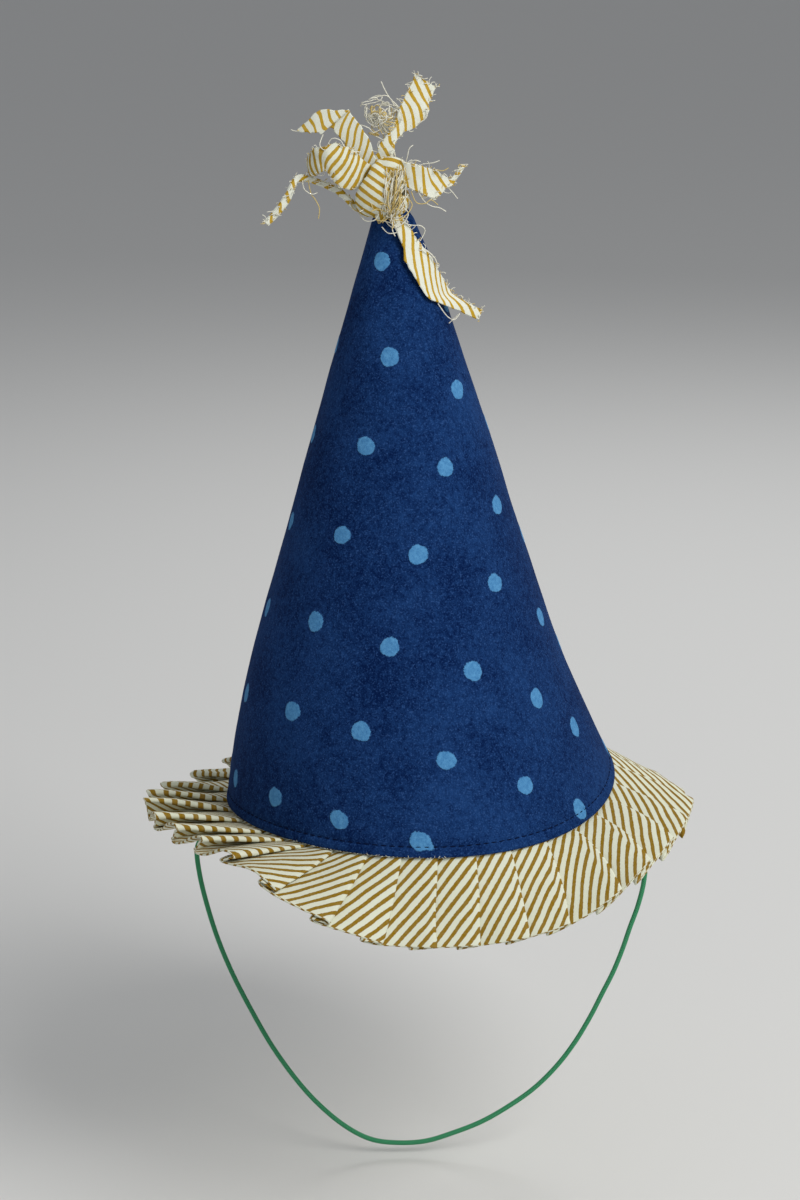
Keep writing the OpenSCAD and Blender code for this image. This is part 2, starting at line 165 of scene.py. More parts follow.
@dataclass
class Draft:
    """A mesh in the making, in millimetres, with a UV place in metres for each corner."""

    points: list[np.ndarray] = field(default_factory=list)
    faces: list[tuple[int, ...]] = field(default_factory=list)
    corners: list[tuple[float, float]] = field(default_factory=list)
    count: int = 0

    def add_points(self, points: np.ndarray) -> int:
        """Add loose points and return the number of the first."""
        first = self.count
        flat = np.asarray(points, float).reshape(-1, 3)
        self.points.append(flat)
        self.count += len(flat)
        return first

    def add_face(self, face: tuple[int, ...], places: list[tuple[float, float]] | None = None) -> None:
        """Add one face with its corners' UV places."""
        self.faces.append(face)
        self.corners.extend(places or [(0.0, 0.0)] * len(face))

    def add_grid(self, points: np.ndarray, wrap: bool, uv: np.ndarray | None = None) -> int:
        """Add a grid of quads.

        Args:
            points: Array of rows by columns by 3.
            wrap: Whether the last column joins the first.
            uv: Array of rows by columns by 2 in metres, with one more column where wrap is set.

        Returns:
            The number of the grid's first point.
        """
        rows, cols = points.shape[:2]
        first = self.add_points(points)
        last = cols if wrap else cols - 1
        for r in range(rows - 1):
            for c in range(last):
                e, low, high = (c + 1) % cols, first + r * cols, first + (r + 1) * cols
                around = ((r, c), (r, c + 1), (r + 1, c + 1), (r + 1, c))
                places = None if uv is None else [tuple(uv[spot]) for spot in around]
                self.add_face((low + c, low + e, high + e, high + c), places)
        return first

    def add_fan(self, ring_first: int, cols: int, middle: np.ndarray) -> None:
        """Close a wrapped row of points with a fan to a middle point."""
        tip = self.add_points(middle)
        for c in range(cols):
            self.add_face((ring_first + c, ring_first + (c + 1) % cols, tip))

    def add_capped_grid(
        self, points: np.ndarray, uv: np.ndarray | None = None, middles: tuple[np.ndarray, np.ndarray] | None = None
    ) -> None:
        """Add a wrapped grid and close its first and last rows with fans.

        Args:
            points: Array of rows by columns by 3.
            uv: Cloth places in metres, with one more column than the points.
            middles: The fans' middle points; each row's own middle where none are given.
        """
        first = self.add_grid(points, True, uv)
        rows, cols = points.shape[:2]
        low, high = middles or (points[0].mean(axis=0), points[-1].mean(axis=0))
        self.add_fan(first, cols, low)
        self.add_fan(first + (rows - 1) * cols, cols, high)

    def build(
        self, name: str, material: bpy.types.Material, lean: bool = True, crease_deg: float = 180
    ) -> bpy.types.Object:
        """Make the Blender object, with its faces turned outward.

        Args:
            name: The piece's name.
            material: Its finish.
            lean: Whether the points still have to take the hat's soft lean.
            crease_deg: Edges that turn by more than this are shaded as sharp ones.

        Returns:
            The object, linked to the scene.
        """
        places = np.vstack(self.points)
        if lean:
            places = LEAN.place(places)
        mesh = bpy.data.meshes.new(name)
        mesh.from_pydata((places * MM).tolist(), [], self.faces)
        layer = mesh.uv_layers.new(name="cloth")
        layer.data.foreach_set("uv", np.asarray(self.corners, float).ravel())
        mesh.materials.append(material)
        mesh.validate()
        made = bmesh.new()
        made.from_mesh(mesh)
        bmesh.ops.recalc_face_normals(made, faces=made.faces[:])
        made.to_mesh(mesh)
        made.free()
        mesh.polygons.foreach_set("use_smooth", [True] * len(mesh.polygons))
        if crease_deg < 180:
            mesh.set_sharp_from_angle(angle=math.radians(crease_deg))
        mesh.update()
        piece = bpy.data.objects.new(name, mesh)
        bpy.context.scene.collection.objects.link(piece)
        log.info("%s: %d faces", name, len(mesh.polygons))
        return piece


def thin_body(
    draft: Draft, middle: np.ndarray, normal: np.ndarray, thickness: np.ndarray, uv: np.ndarray, round_ends: int = 3
) -> None:
    """Give an open sheet, rows by columns, a closed body with rounded long edges.

    Args:
        draft: Takes the body.
        middle: The sheet's middle surface, rows by columns by 3.
        normal: Unit normals there.
        thickness: Full thickness at each point, rows by columns.
        uv: Cloth places in metres, rows by columns by 2.
        round_ends: Points across each rounded edge.
    """
    half = (thickness / 2)[..., None]
    side_low = unit(middle[:, :1] - middle[:, 1:2])
    side_high = unit(middle[:, -1:] - middle[:, -2:-1])
    angles = np.linspace(90, -90, round_ends + 2)[1:-1] * math.pi / 180
    columns, places = [middle + normal * half], [uv]
    for side, at, flip in ((side_high, -1, 1), (side_low, 0, -1)):
        at_edge, lift = middle[:, at][:, None], half[:, at][:, None]
        face = normal[:, at][:, None]
        turns = angles if flip == 1 else -angles
        for a in turns:
            columns.append(at_edge + side * lift * math.cos(a) + face * lift * math.sin(a))
            places.append(uv[:, at][:, None])
        if flip == 1:
            columns.append((middle - normal * half)[:, ::-1])
            places.append(uv[:, ::-1])
    loop, cloth = np.concatenate(columns, axis=1), np.concatenate(places, axis=1)
    cloth = np.concatenate([cloth, cloth[:, :1]], axis=1)
    draft.add_capped_grid(loop, cloth)


class Surface(Enum):
    """How a surface's threads lie, with the roughness that this gives."""

    BRUSHED = 0.92
    WOVEN = 0.85
    BRAIDED = 0.6
    PAPER = 0.95


class Paint:
    """A material's node tree, with short ways to add and join its nodes."""

    gloss = 0.05

    def __init__(self, name: str) -> None:
        """Start a material with only a shader and its output."""
        self.material = bpy.data.materials.new(name)
        self.material.use_nodes = True
        self.tree = self.material.node_tree
        self.tree.nodes.clear()
        self.output = self.tree.nodes.new("ShaderNodeOutputMaterial")
        self.shader = self.tree.nodes.new("ShaderNodeBsdfPrincipled")
        self.join(self.shader.outputs["BSDF"], self.output.inputs["Surface"])

    def add(self, kind: str, values: dict | None = None, **settings: object) -> bpy.types.Node:
        """Add a node.

        Args:
            kind: The node's type, without its ShaderNode prefix.
            values: Socket names or numbers, with a constant or another node's output for each.
            settings: Properties of the node itself.

        Returns:
            The node.
        """
        node = self.tree.nodes.new("ShaderNode" + kind)
        for name, value in settings.items():
            setattr(node, name, value)
        for name, value in (values or {}).items():
            self.put(node.inputs[name], value)
        return node

    def put(self, socket: bpy.types.NodeSocket, value: object) -> None:
        """Set a socket to a constant, or join an output to it."""
        if isinstance(value, bpy.types.NodeSocket):
            self.join(value, socket)
        else:
            socket.default_value = value

    def join(self, source: bpy.types.NodeSocket, target: bpy.types.NodeSocket) -> None:
        """Join two sockets."""
        self.tree.links.new(source, target)

    def math(self, operation: str, *values: object) -> bpy.types.NodeSocket:
        """Add a maths node and return its output."""
        node = self.add("Math", operation=operation)
        for k, value in enumerate(values):
            self.put(node.inputs[k], value)
        return node.outputs[0]

    def noise(
        self, place: bpy.types.NodeSocket, size_mm: float, detail: float = 2, rough: float = 0.5
    ) -> bpy.types.NodeSocket:
        """Add a noise whose features are about size_mm across, and return its factor."""
        values = {"Vector": place, "Scale": 1 / (size_mm * MM), "Detail": detail, "Roughness": rough}
        node = self.add("TexNoise", values)
        return node.outputs["Factor" if "Factor" in node.outputs else "Fac"]

    def jitter(
        self, place: bpy.types.NodeSocket, size_mm: float, detail: float, reach: float, rough: float = 0.5
    ) -> bpy.types.NodeSocket:
        """Add a noise about zero that spans the given reach."""
        return self.math("MULTIPLY", self.math("SUBTRACT", self.noise(place, size_mm, detail, rough), 0.5), reach)

    def remap(
        self, value: bpy.types.NodeSocket, low: float, high: float, to_low: float = 0, to_high: float = 1
    ) -> bpy.types.NodeSocket:
        """Stretch a value's range and clamp it."""
        values = {"Value": value, "From Min": low, "From Max": high, "To Min": to_low, "To Max": to_high}
        return self.add("MapRange", values).outputs["Result"]

    def mix(self, share: object, first: object, second: object) -> bpy.types.NodeSocket:
        """Mix two colours and return the result."""
        node = self.add("Mix", data_type="RGBA")
        self.put(node.inputs[0], share)
        self.put(node.inputs[6], first)
        self.put(node.inputs[7], second)
        return node.outputs[2]

    def bump(self, height: bpy.types.NodeSocket, depth_mm: float, strength: float = 1.0) -> bpy.types.NodeSocket:
        """Add a bump of the given depth and return its normal."""
        node = self.add("Bump", {"Height": height, "Strength": strength, "Distance": depth_mm * MM})
        return node.outputs["Normal"]

    def finish(
        self, base: object, surface: Surface, sheen: float, sheen_tint: tuple, normal: object = None
    ) -> bpy.types.Material:
        """Set the shader's own sockets.

        Args:
            base: The base colour, or a socket that gives it.
            surface: How the threads lie, which sets the roughness.
            sheen: Share of the pale sheen that fine fibres give.
            sheen_tint: The sheen's colour.
            normal: A bump's normal, if there is one.

        Returns:
            The material.
        """
        values = {
            "Base Color": base,
            "Roughness": surface.value,
            "Specular IOR Level": self.gloss,
            "Sheen Weight": sheen,
            "Sheen Roughness": 0.5,
            "Sheen Tint": sheen_tint,
        }
        for name, value in values.items():
            self.put(self.shader.inputs[name], value)
        if normal is not None:
            self.put(self.shader.inputs["Normal"], normal)
        return self.material


@dataclass(frozen=True)
class NavyCotton:
    """Brushed navy cotton: a mottled nap with fine pale flecks."""

    name: str = "navy_cotton"
    deep: tuple = colour(2, 24, 66)
    lit: tuple = colour(25, 58, 108)
    fleck: tuple = colour(62, 94, 146)

    def nap(self, paint: Paint) -> tuple[bpy.types.NodeSocket, bpy.types.NodeSocket]:
        """Draw the nap, for this cloth or for a print on it.

        Args:
            paint: The material that takes it.

        Returns:
            Its colour and its normal.
        """
        place = paint.add("TexCoord").outputs["Object"]
        cloud = paint.noise(place, 22, 3, 0.55)
        fine = paint.noise(place, 1.7, 3, 0.6)
        grain = paint.noise(place, 0.5, 2, 0.6)
        share = paint.math("ADD", paint.math("MULTIPLY", cloud, 0.3), paint.math("MULTIPLY", fine, 0.34))
        share = paint.math("ADD", share, paint.math("MULTIPLY", grain, 0.36))
        base = paint.mix(paint.remap(share, 0.40, 0.60), self.deep, self.lit)
        flecks = paint.math("MULTIPLY", paint.remap(grain, 0.58, 0.70), 0.4)
        base = paint.mix(flecks, base, self.fleck)
        height = paint.math("ADD", paint.math("MULTIPLY", fine, 0.6), grain)
        return base, paint.bump(height, 0.16, 0.8)

    def make(self) -> bpy.types.Material:
        """Make the material.

        Returns:
            The material.
        """
        paint = Paint(self.name)
        base, normal = self.nap(paint)
        return paint.finish(base, Surface.BRUSHED, 0.04, colour(110, 140, 195), normal)


@dataclass(frozen=True)
class DotPrint:
    """Light blue print whose rough rim lets the navy nap through."""

    name: str = "dot_print"
    ink: tuple = colour(88, 148, 194)
    thin: tuple = colour(62, 118, 168)
    cloth: NavyCotton = NavyCotton()

    def make(self) -> bpy.types.Material:
        """Make the material, which reads the dot's own radius from its UV map.

        Returns:
            The material.
        """
        paint = Paint(self.name)
        navy, normal = self.cloth.nap(paint)
        place = paint.add("TexCoord").outputs["Object"]
        across = paint.add("UVMap", uv_map="cloth").outputs["UV"]
        radius = paint.add("VectorMath", {0: across}, operation="LENGTH").outputs["Value"]
        rough = paint.jitter(place, 0.7, 3, 0.42, 0.7)
        edge = paint.remap(paint.math("ADD", radius, rough), 0.93, 1.03)
        blotch = paint.remap(paint.noise(place, 1.1, 4, 0.7), 0.35, 0.7)
        ink = paint.mix(blotch, self.thin, self.ink)
        base = paint.mix(edge, ink, navy)
        return paint.finish(base, Surface.WOVEN, 0.06, colour(150, 180, 220), normal)


@dataclass(frozen=True)
class StripedCotton:
    """Plain-woven cream cotton printed with narrow mustard stripes, laid out on the cloth's UV map."""

    name: str
    cream: tuple = colour(229, 231, 212)
    mustard: tuple = colour(146, 112, 26)
    pitch_mm: float = 3.0
    share: float = 0.33
    turn_deg: float = 0.0
    thread_mm: float = 0.42

    def make(self) -> bpy.types.Material:
        """Make the material.

        Returns:
            The material.
        """
        paint = Paint(self.name)
        cloth = paint.add("UVMap", uv_map="cloth").outputs["UV"]
        part = paint.add("SeparateXYZ", {0: cloth})
        across, along = part.outputs[0], part.outputs[1]
        turn = math.radians(self.turn_deg)
        line = paint.math(
            "ADD", paint.math("MULTIPLY", across, math.cos(turn)), paint.math("MULTIPLY", along, -math.sin(turn))
        )
        wobble = paint.jitter(cloth, 9, 1, 0.6 * MM)
        ragged = paint.jitter(cloth, 0.8, 2, 0.34 * MM, 0.6)
        line = paint.math("ADD", line, paint.math("ADD", wobble, ragged))
        phase = paint.math("FRACT", paint.math("DIVIDE", line, self.pitch_mm * MM))
        off_middle = paint.math("ABSOLUTE", paint.math("SUBTRACT", phase, 0.5))
        swell = paint.jitter(cloth, 4, 1, 0.10)
        half = self.share / 2
        ink = paint.remap(paint.math("ADD", off_middle, swell), half + 0.018, half - 0.018)
        thin = paint.remap(paint.noise(cloth, 1.0, 3, 0.6), 0.3, 0.65, 0.92, 1.0)
        ink = paint.math("MULTIPLY", ink, thin)
        threads = FULL_TURN / (self.thread_mm * MM)
        warp = paint.math("SINE", paint.math("MULTIPLY", across, threads))
        weft = paint.math("SINE", paint.math("MULTIPLY", along, threads))
        weave = paint.math("MULTIPLY", warp, weft)
        slub = paint.noise(cloth, 1.3, 2)
        soft = paint.mix(paint.remap(slub, 0.35, 0.75, 0.0, 0.16), self.cream, colour(200, 200, 176))
        base = paint.mix(ink, soft, self.mustard)
        height = paint.math("ADD", paint.math("MULTIPLY", weave, 0.25), slub)
        return paint.finish(base, Surface.WOVEN, 0.01, colour(240, 238, 225), paint.bump(height, 0.07, 0.7))


@dataclass(frozen=True)
class PlainThread:
    """Spun thread or stiff white interlining: one colour with a fine grain."""

    name: str
    base: tuple
    sheen: float = 0.15
    grain_mm: float = 0.4

    def make(self) -> bpy.types.Material:
        """Make the material.

        Returns:
            The material.
        """
        paint = Paint(self.name)
        place = paint.add("TexCoord").outputs["Object"]
        grain = paint.noise(place, self.grain_mm, 2)
        dark = tuple(c * 0.72 for c in self.base[:3]) + (1.0,)
        base = paint.mix(paint.remap(grain, 0.3, 0.7), dark, self.base)
        return paint.finish(base, Surface.WOVEN, self.sheen, self.base, paint.bump(grain, 0.05, 0.6))


@dataclass(frozen=True)
class BraidedElastic:
    """Green braid of a round elastic, whose yarns cross on the cord's own UV map, with painted shade darkening the
    grooves between the yarns.
    """

    name: str = "green_elastic"
    lit: tuple = colour(74, 158, 112)
    # deep is painted shade: the darker green given to the grooves between the yarns.
    deep: tuple = colour(22, 84, 56)

    def make(self) -> bpy.types.Material:
        """Make the material.

        Returns:
            The material.
        """
        paint = Paint(self.name)
        cloth = paint.add("UVMap", uv_map="cloth").outputs["UV"]
        part = paint.add("SeparateXYZ", {0: cloth})
        turn, along = paint.math("MULTIPLY", part.outputs[0], 5 * FULL_TURN / 2), part.outputs[1]
        run = paint.math("MULTIPLY", along, FULL_TURN / (1.3 * MM))
        one = paint.math("ABSOLUTE", paint.math("SINE", paint.math("ADD", turn, run)))
        two = paint.math("ABSOLUTE", paint.math("SINE", paint.math("SUBTRACT", turn, run)))
        height = paint.math("MAXIMUM", one, two)
        # Painted shade: the yarn tops take the lit green and the grooves between them the deep green, following the
        # braid's height.
        base = paint.mix(paint.remap(height, 0.62, 0.95), self.deep, self.lit)
        return paint.finish(base, Surface.BRAIDED, 0.2, colour(140, 200, 160), paint.bump(height, 0.1, 0.8))


class Finishes:
    """Every finish of the hat, each made once."""

    def __init__(self) -> None:
        """Make the materials."""
        self.navy = NavyCotton().make()
        self.dots = DotPrint().make()
        # The ruffle's cream and mustard are darker copies of the torn strips' colours, though both are one cloth:
        # painted shade, since the ruffle hangs lower, under the cone.
        self.ruffle = StripedCotton("striped_cotton", colour(214, 217, 197), colour(136, 104, 6), 2.65, 0.42, 38).make()
        self.torn = StripedCotton("torn_cotton", colour(217, 220, 207), colour(180, 144, 24), 2.7, 0.35).make()
        bold = StripedCotton("torn_cotton_bold", colour(214, 217, 200), colour(172, 136, 22), 2.15, 0.46)
        self.torn_bold = bold.make()
        self.lining = PlainThread("stiff_interlining", colour(226, 226, 220), 0.1, 1.2).make()
        self.stitch = PlainThread("navy_thread", colour(6, 18, 50), 0.05).make()
        self.fray = PlainThread("cream_thread", colour(236, 234, 218), 0.05).make()
        self.fray_dyed = PlainThread("mustard_thread", colour(214, 192, 128), 0.05).make()
        self.elastic = BraidedElastic().make()


class NodeRecipe:
    """A Geometry Nodes tree with named inputs, run on a path and turned into a plain mesh."""

    kinds = {float: "NodeSocketFloat", int: "NodeSocketInt", bpy.types.Material: "NodeSocketMaterial"}

    def __init__(self, name: str, inputs: dict[str, object]) -> None:
        """Start the tree.

        Args:
            name: The tree's name.
            inputs: The value of each named input.
        """
        self.tree = bpy.data.node_groups.new(name, "GeometryNodeTree")
        self.values = inputs
        face = self.tree.interface
        face.new_socket("Geometry", in_out="INPUT", socket_type="NodeSocketGeometry")
        for label, value in inputs.items():
            face.new_socket(label, in_out="INPUT", socket_type=self.kinds[type(value)])
        face.new_socket("Geometry", in_out="OUTPUT", socket_type="NodeSocketGeometry")
        self.start = self.tree.nodes.new("NodeGroupInput")
        self.end = self.tree.nodes.new("NodeGroupOutput")

    def given(self, label: str) -> bpy.types.NodeSocket:
        """Return a named input's socket inside the tree."""
        return self.start.outputs[label]

    def add(self, kind: str, values: dict | None = None, **settings: object) -> bpy.types.Node:
        """Add a node.

        Args:
            kind: The node's full type.
            values: A constant or another node's output for each of its inputs.
            settings: Properties of the node itself.

        Returns:
            The node.
        """
        node = self.tree.nodes.new(kind)
        for name, value in settings.items():
            setattr(node, name, value)
        for name, value in (values or {}).items():
            if isinstance(value, bpy.types.NodeSocket):
                self.tree.links.new(value, node.inputs[name])
            else:
                node.inputs[name].default_value = value
        return node

    def lines(self) -> bpy.types.NodeSocket:
        """Take the given lines as curves."""
        return self.add("GeometryNodeMeshToCurve", {"Mesh": self.given("Geometry")}).outputs[0]

    def spots(self) -> bpy.types.NodeSocket:
        """Set points along the given lines, at the named spacing."""
        values = {"Curve": self.lines(), "Length": self.given("Spacing")}
        return self.add("GeometryNodeResampleCurve", values, mode="LENGTH").outputs[0]

    def tube(self, curve: bpy.types.NodeSocket, sides: int) -> bpy.types.NodeSocket:
        """Turn curves into capped threads of the named radius."""
        ring = self.add("GeometryNodeCurvePrimitiveCircle", {"Resolution": sides, "Radius": self.given("Radius")})
        values = {"Curve": curve, "Profile Curve": ring.outputs[0], "Fill Caps": True}
        return self.add("GeometryNodeCurveToMesh", values).outputs[0]

    def close(self, geometry: bpy.types.NodeSocket) -> None:
        """End the tree in Realize Instances and Set Material."""
        real = self.add("GeometryNodeRealizeInstances", {"Geometry": geometry})
        dressed = self.add(
            "GeometryNodeSetMaterial", {"Geometry": real.outputs[0], "Material": self.given("Material")}
        )
        self.tree.links.new(dressed.outputs[0], self.end.inputs[0])

    def run(self, name: str, paths: list[np.ndarray], closed: bool = False, lean: bool = True) -> bpy.types.Object:
        """Run the tree on lines through the given points, and keep the result as a plain mesh.

        Args:
            name: The piece's name.
            paths: Lists of places in millimetres.
            closed: Whether each line ends where it starts.
            lean: Whether the points still have to take the hat's soft lean.

        Returns:
            The finished piece.
        """
        points, edges = [], []
        for path in paths:
            first = len(points)
            points.extend(LEAN.place(path) if lean else path)
            edges.extend((first + k, first + k + 1) for k in range(len(path) - 1))
            if closed:
                edges.append((first + len(path) - 1, first))
        mesh = bpy.data.meshes.new(name + "_path")
        mesh.from_pydata((np.array(points) * MM).tolist(), edges, [])
        guide = bpy.data.objects.new(name + "_path", mesh)
        bpy.context.scene.collection.objects.link(guide)
        modifier = guide.modifiers.new("recipe", "NODES")
        modifier.node_group = self.tree
        sockets = {s.name: s.identifier for s in self.tree.interface.items_tree if s.in_out == "INPUT"}
        for label, value in self.values.items():
            modifier[sockets[label]] = value
        seen = guide.evaluated_get(bpy.context.evaluated_depsgraph_get())
        made = bpy.data.meshes.new_from_object(seen)
        made.name = name
        guide.modifiers.clear()
        bpy.data.objects.remove(guide)
        piece = bpy.data.objects.new(name, made)
        bpy.context.scene.collection.objects.link(piece)
        log.info("%s: %d faces", name, len(made.polygons))
        return piece


def stitch_recipe(material: bpy.types.Material, spacing: float, length: float, radius: float) -> NodeRecipe:
    """Set a rounded stitch at even spacing along a line.

    Args:
        material: The thread's finish.
        spacing: Distance between stitches, in metres.
        length: Length of a stitch, in metres.
        radius: Radius of the thread, in metres.

    Returns:
        The recipe.
    """
    recipe = NodeRecipe("stitches", {"Spacing": spacing, "Length": length, "Radius": radius, "Material": material})
    even = recipe.spots()
    ball = recipe.add("GeometryNodeMeshIcoSphere", {"Radius": 1.0, "Subdivisions": 2})
    half = recipe.add("ShaderNodeMath", {0: recipe.given("Length"), 1: 0.5}, operation="MULTIPLY")
    radius_in = recipe.given("Radius")
    scale = recipe.add("ShaderNodeCombineXYZ", {0: radius_in, 1: radius_in, 2: half.outputs[0]})
    along = recipe.add("GeometryNodeInputTangent")
    turn = recipe.add("FunctionNodeAlignRotationToVector", {"Vector": along.outputs[0]}, axis="Z")
    spread = recipe.add(
        "GeometryNodeInstanceOnPoints",
        {"Points": even, "Instance": ball.outputs[0], "Rotation": turn.outputs[0], "Scale": scale.outputs[0]},
    )
    recipe.close(spread.outputs[0])
    return recipe


def fray_recipe(material: bpy.types.Material, spacing: float, length: float, radius: float, seed: int) -> NodeRecipe:
    """Let short bent threads stand out along a torn edge.

    Args:
        material: The thread's finish.
        spacing: Distance between threads, in metres.
        length: Length of the longest thread, in metres.
        radius: Radius of a thread, in metres.
        seed: Fixes the threads' random turns and sizes.

    Returns:
        The recipe.
    """
    inputs = {"Spacing": spacing, "Length": length, "Radius": radius, "Seed": seed, "Material": material}
    recipe = NodeRecipe("fray", inputs)
    even = recipe.spots()
    hair = recipe.add(
        "GeometryNodeCurveQuadraticBezier",
        {"Resolution": 5, "Start": (0, 0, 0), "Middle": (0.35, 0.25, 0.5), "End": (0.1, -0.15, 1.0)},
    )
    turns = recipe.add(
        "FunctionNodeRandomValue",
        {0: (-1.9, -1.9, -3.1), 1: (1.9, 1.9, 3.1), "Seed": recipe.given("Seed")},
        data_type="FLOAT_VECTOR",
    )
    long = recipe.add("ShaderNodeMath", {0: recipe.given("Length"), 1: 0.25}, operation="MULTIPLY")
    sizes = recipe.add(
        "FunctionNodeRandomValue",
        {2: long.outputs[0], 3: recipe.given("Length"), "Seed": recipe.given("Seed")},
        data_type="FLOAT",
    )
    spread = recipe.add(
        "GeometryNodeInstanceOnPoints",
        {"Points": even, "Instance": hair.outputs[0], "Rotation": turns.outputs[0], "Scale": sizes.outputs[1]},
    )
    real = recipe.add("GeometryNodeRealizeInstances", {"Geometry": spread.outputs[0]})
    recipe.close(recipe.tube(real.outputs[0], 4))
    return recipe


def yarn_recipe(material: bpy.types.Material, radius: float) -> NodeRecipe:
    """Turn lines into round threads.

    Args:
        material: The thread's finish.
        radius: Radius of the thread, in metres.

    Returns:
        The recipe.
    """
    recipe = NodeRecipe("yarn", {"Radius": radius, "Material": material})
    recipe.close(recipe.tube(recipe.lines(), 5))
    return recipe


def seat(piece: bpy.types.Object, slot: str, *nodes: str) -> bpy.types.Object:
    """Tie a piece to the part.

    Args:
        piece: The finished piece, which rides the root.
        slot: Its material slot; not used.
        nodes: The nodes that it stands for.

    Returns:
        The piece.
    """
    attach(piece, "root")
    if nodes:
        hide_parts(*nodes)
    return piece


@dataclass
class ClothCone:
    """The sewn cone: its outer skin carries the dots, and its hem the topstitching."""

    hem_radius: float = 65.0
    height: float = 185.0
    tip_radius: float = 6.25
    gather: float = 4.0
    neck_radius: float = 4.5
    cloth: float = 0.8
    lining: float = 0.7
    sewn_gap: float = 0.05
    tip_pull: float = 1.0
    stitch_rise: float = 3.1
    around: int = 264
    soft_wave: float = 0.42
    fine_wave: float = 0.14
    pucker: float = 0.32
    stitch_dip: float = 0.24
    hem_swell: float = 0.16
    seam_dip: float = 0.42
    seam_swell: float = 0.22
    seam_stitch: float = 4.2
    dot_across: float = 25.2
    dot_down: float = 27.6
    dot_turn_deg: float = 18.5
    dot_room: float = 3.8
    dot_start: float = 65.5
    dot_side: float = 1.8
    dot_radius: float = 2.95

    @property
    def slope(self) -> float:
        """Radius lost for each millimetre of height."""
        return (self.hem_radius - self.tip_radius) / self.height

    @property
    def tilt(self) -> float:
        """Tilt of the wall from upright, in radians."""
        return math.atan(self.slope)

    @property
    def slant(self) -> float:
        """Slant length from the hem to the point that the straight cone would run to."""
        return self.hem_radius / math.sin(self.tilt)

    def skin(self, turn: np.ndarray, z: np.ndarray, inset: np.ndarray) -> np.ndarray:
        """Find points of the cloth, uneven as sewn cloth is.

        Args:
            turn: Angles round the cone, in radians.
            z: Heights in millimetres.
            inset: Depths below the outer face.

        Returns:
            The places on the straight cone's frame, in millimetres.
        """
        turn, z, inset = np.broadcast_arrays(np.asarray(turn, float), z, inset)
        radius = self.hem_radius - z * self.slope
        gather_z = self.height - self.gather
        pulled = ease(self.height - 21, self.height - 1, z)
        radius = blend(radius - self.tip_pull * pulled, self.neck_radius, ease(gather_z, self.height, z))
        free = ease(2, 26, z) * (1 - ease(160, gather_z, z))
        round_it = np.stack([np.cos(turn) * 40, np.sin(turn) * 40, z * 0.8], axis=-1)
        radius = radius + free * self.soft_wave * ripple(round_it, 95, 3)
        radius = radius + free * self.fine_wave * ripple(round_it, 30, 8)
        puckers = np.sin(turn * 11 + 0.4 * np.sin(turn * 3))
        radius = radius + self.pucker * puckers * np.exp(-(self.height - z) / 7)
        radius = radius - self.stitch_dip * np.exp(-(((z - self.stitch_rise) / 0.55) ** 2))
        radius = radius + self.hem_swell * np.exp(-(((z - 1.2) / 1.3) ** 2))
        along = (turn - math.pi / 2 + math.pi) % FULL_TURN - math.pi
        off_seam = np.abs(along) * radius
        pull = 1 + 0.35 * np.sin(z * FULL_TURN / self.seam_stitch)
        radius = radius - self.seam_dip * np.exp(-((off_seam / 0.55) ** 2))
        radius = radius + self.seam_swell * pull * np.exp(-(((off_seam - 2.4) / 1.3) ** 2))
        radius = np.maximum(radius - inset / math.cos(self.tilt), 0.05)
        return np.stack([radius * np.cos(turn) - self.tip_pull * pulled, radius * np.sin(turn), z], axis=-1)

    def turns(self) -> np.ndarray:
        """Angles round the cone, closer together at the back seam."""
        even = np.arange(self.around) * FULL_TURN / self.around
        near_seam = math.pi / 2 + np.array([-5, -3.6, -2.4, -1.4, -0.7, 0.7, 1.4, 2.4, 3.6, 5]) / 200
        return np.unique(np.round(np.concatenate([even, near_seam]), 5))

    def heights(self) -> np.ndarray:
        """Heights of the rows, closer together at the stitching and at the tip."""
        low = [0.5, 0.9, 1.4, 1.9, 2.3, 2.7, 3.1, 3.5, 3.9, 4.4, 5.2, 6.5]
        return np.array([*low, *np.arange(8.5, 176, 2.0), *np.arange(176.5, self.height + 0.1, 0.85)])

    def build(self, finishes: Finishes) -> None:
        """Make the cone, its interlining, its dots and its stitches.

        Args:
            finishes: The hat's finishes.
        """
        turn, z = self.turns(), self.heights()
        up = [(0.0, h) for h in z]
        hem = [(0.1, 0.16), (0.3, 0.02), (0.5, 0.02), (0.7, 0.16)]
        inside = [(self.cloth, h) for h in z[::3] if h < self.height - 3]
        profile = np.array([*reversed(up), *hem, *inside])
        grid = self.skin(turn[None, :], profile[:, 1:2], profile[:, 0:1])
        draft = Draft()
        draft.add_capped_grid(grid, None, (np.array([0, 0, self.height + 0.1]), np.array([0, 0, self.height - 3])))
        cloth = seat(draft.build("cone_cloth_sewn", finishes.navy), "navy_cotton", "cone_cloth")
        self.build_lining(finishes, turn)
        self.build_dots(finishes)
        self.build_stitches(finishes)

    def build_lining(self, finishes: Finishes, turn: np.ndarray) -> None:
        """Make the stiff inner cone, clear of the ruffle's header and of the tip.

        Args:
            finishes: The hat's finishes.
            turn: The cone's angles.
        """
        outer = self.cloth + self.sewn_gap
        z = np.linspace(8.5, 178, 60)
        rising = [(outer, h) for h in z]
        falling = [(outer + self.lining, h) for h in z[::-1]]
        profile = np.array([*rising, *falling, rising[0]])
        grid = self.skin(turn[None, ::2], profile[:, 1:2], profile[:, 0:1])
        rows, cols = grid.shape[:2]
        draft = Draft()
        first = draft.add_points(grid[:-1])
        for r in range(rows - 1):
            for c in range(cols):
                e, s = (c + 1) % cols, (r + 1) % (rows - 1)
                draft.add_face((first + r * cols + c, first + r * cols + e, first + s * cols + e, first + s * cols + c))
        seat(draft.build("interlining_stiff", finishes.lining), "stiff_interlining", "interlining")

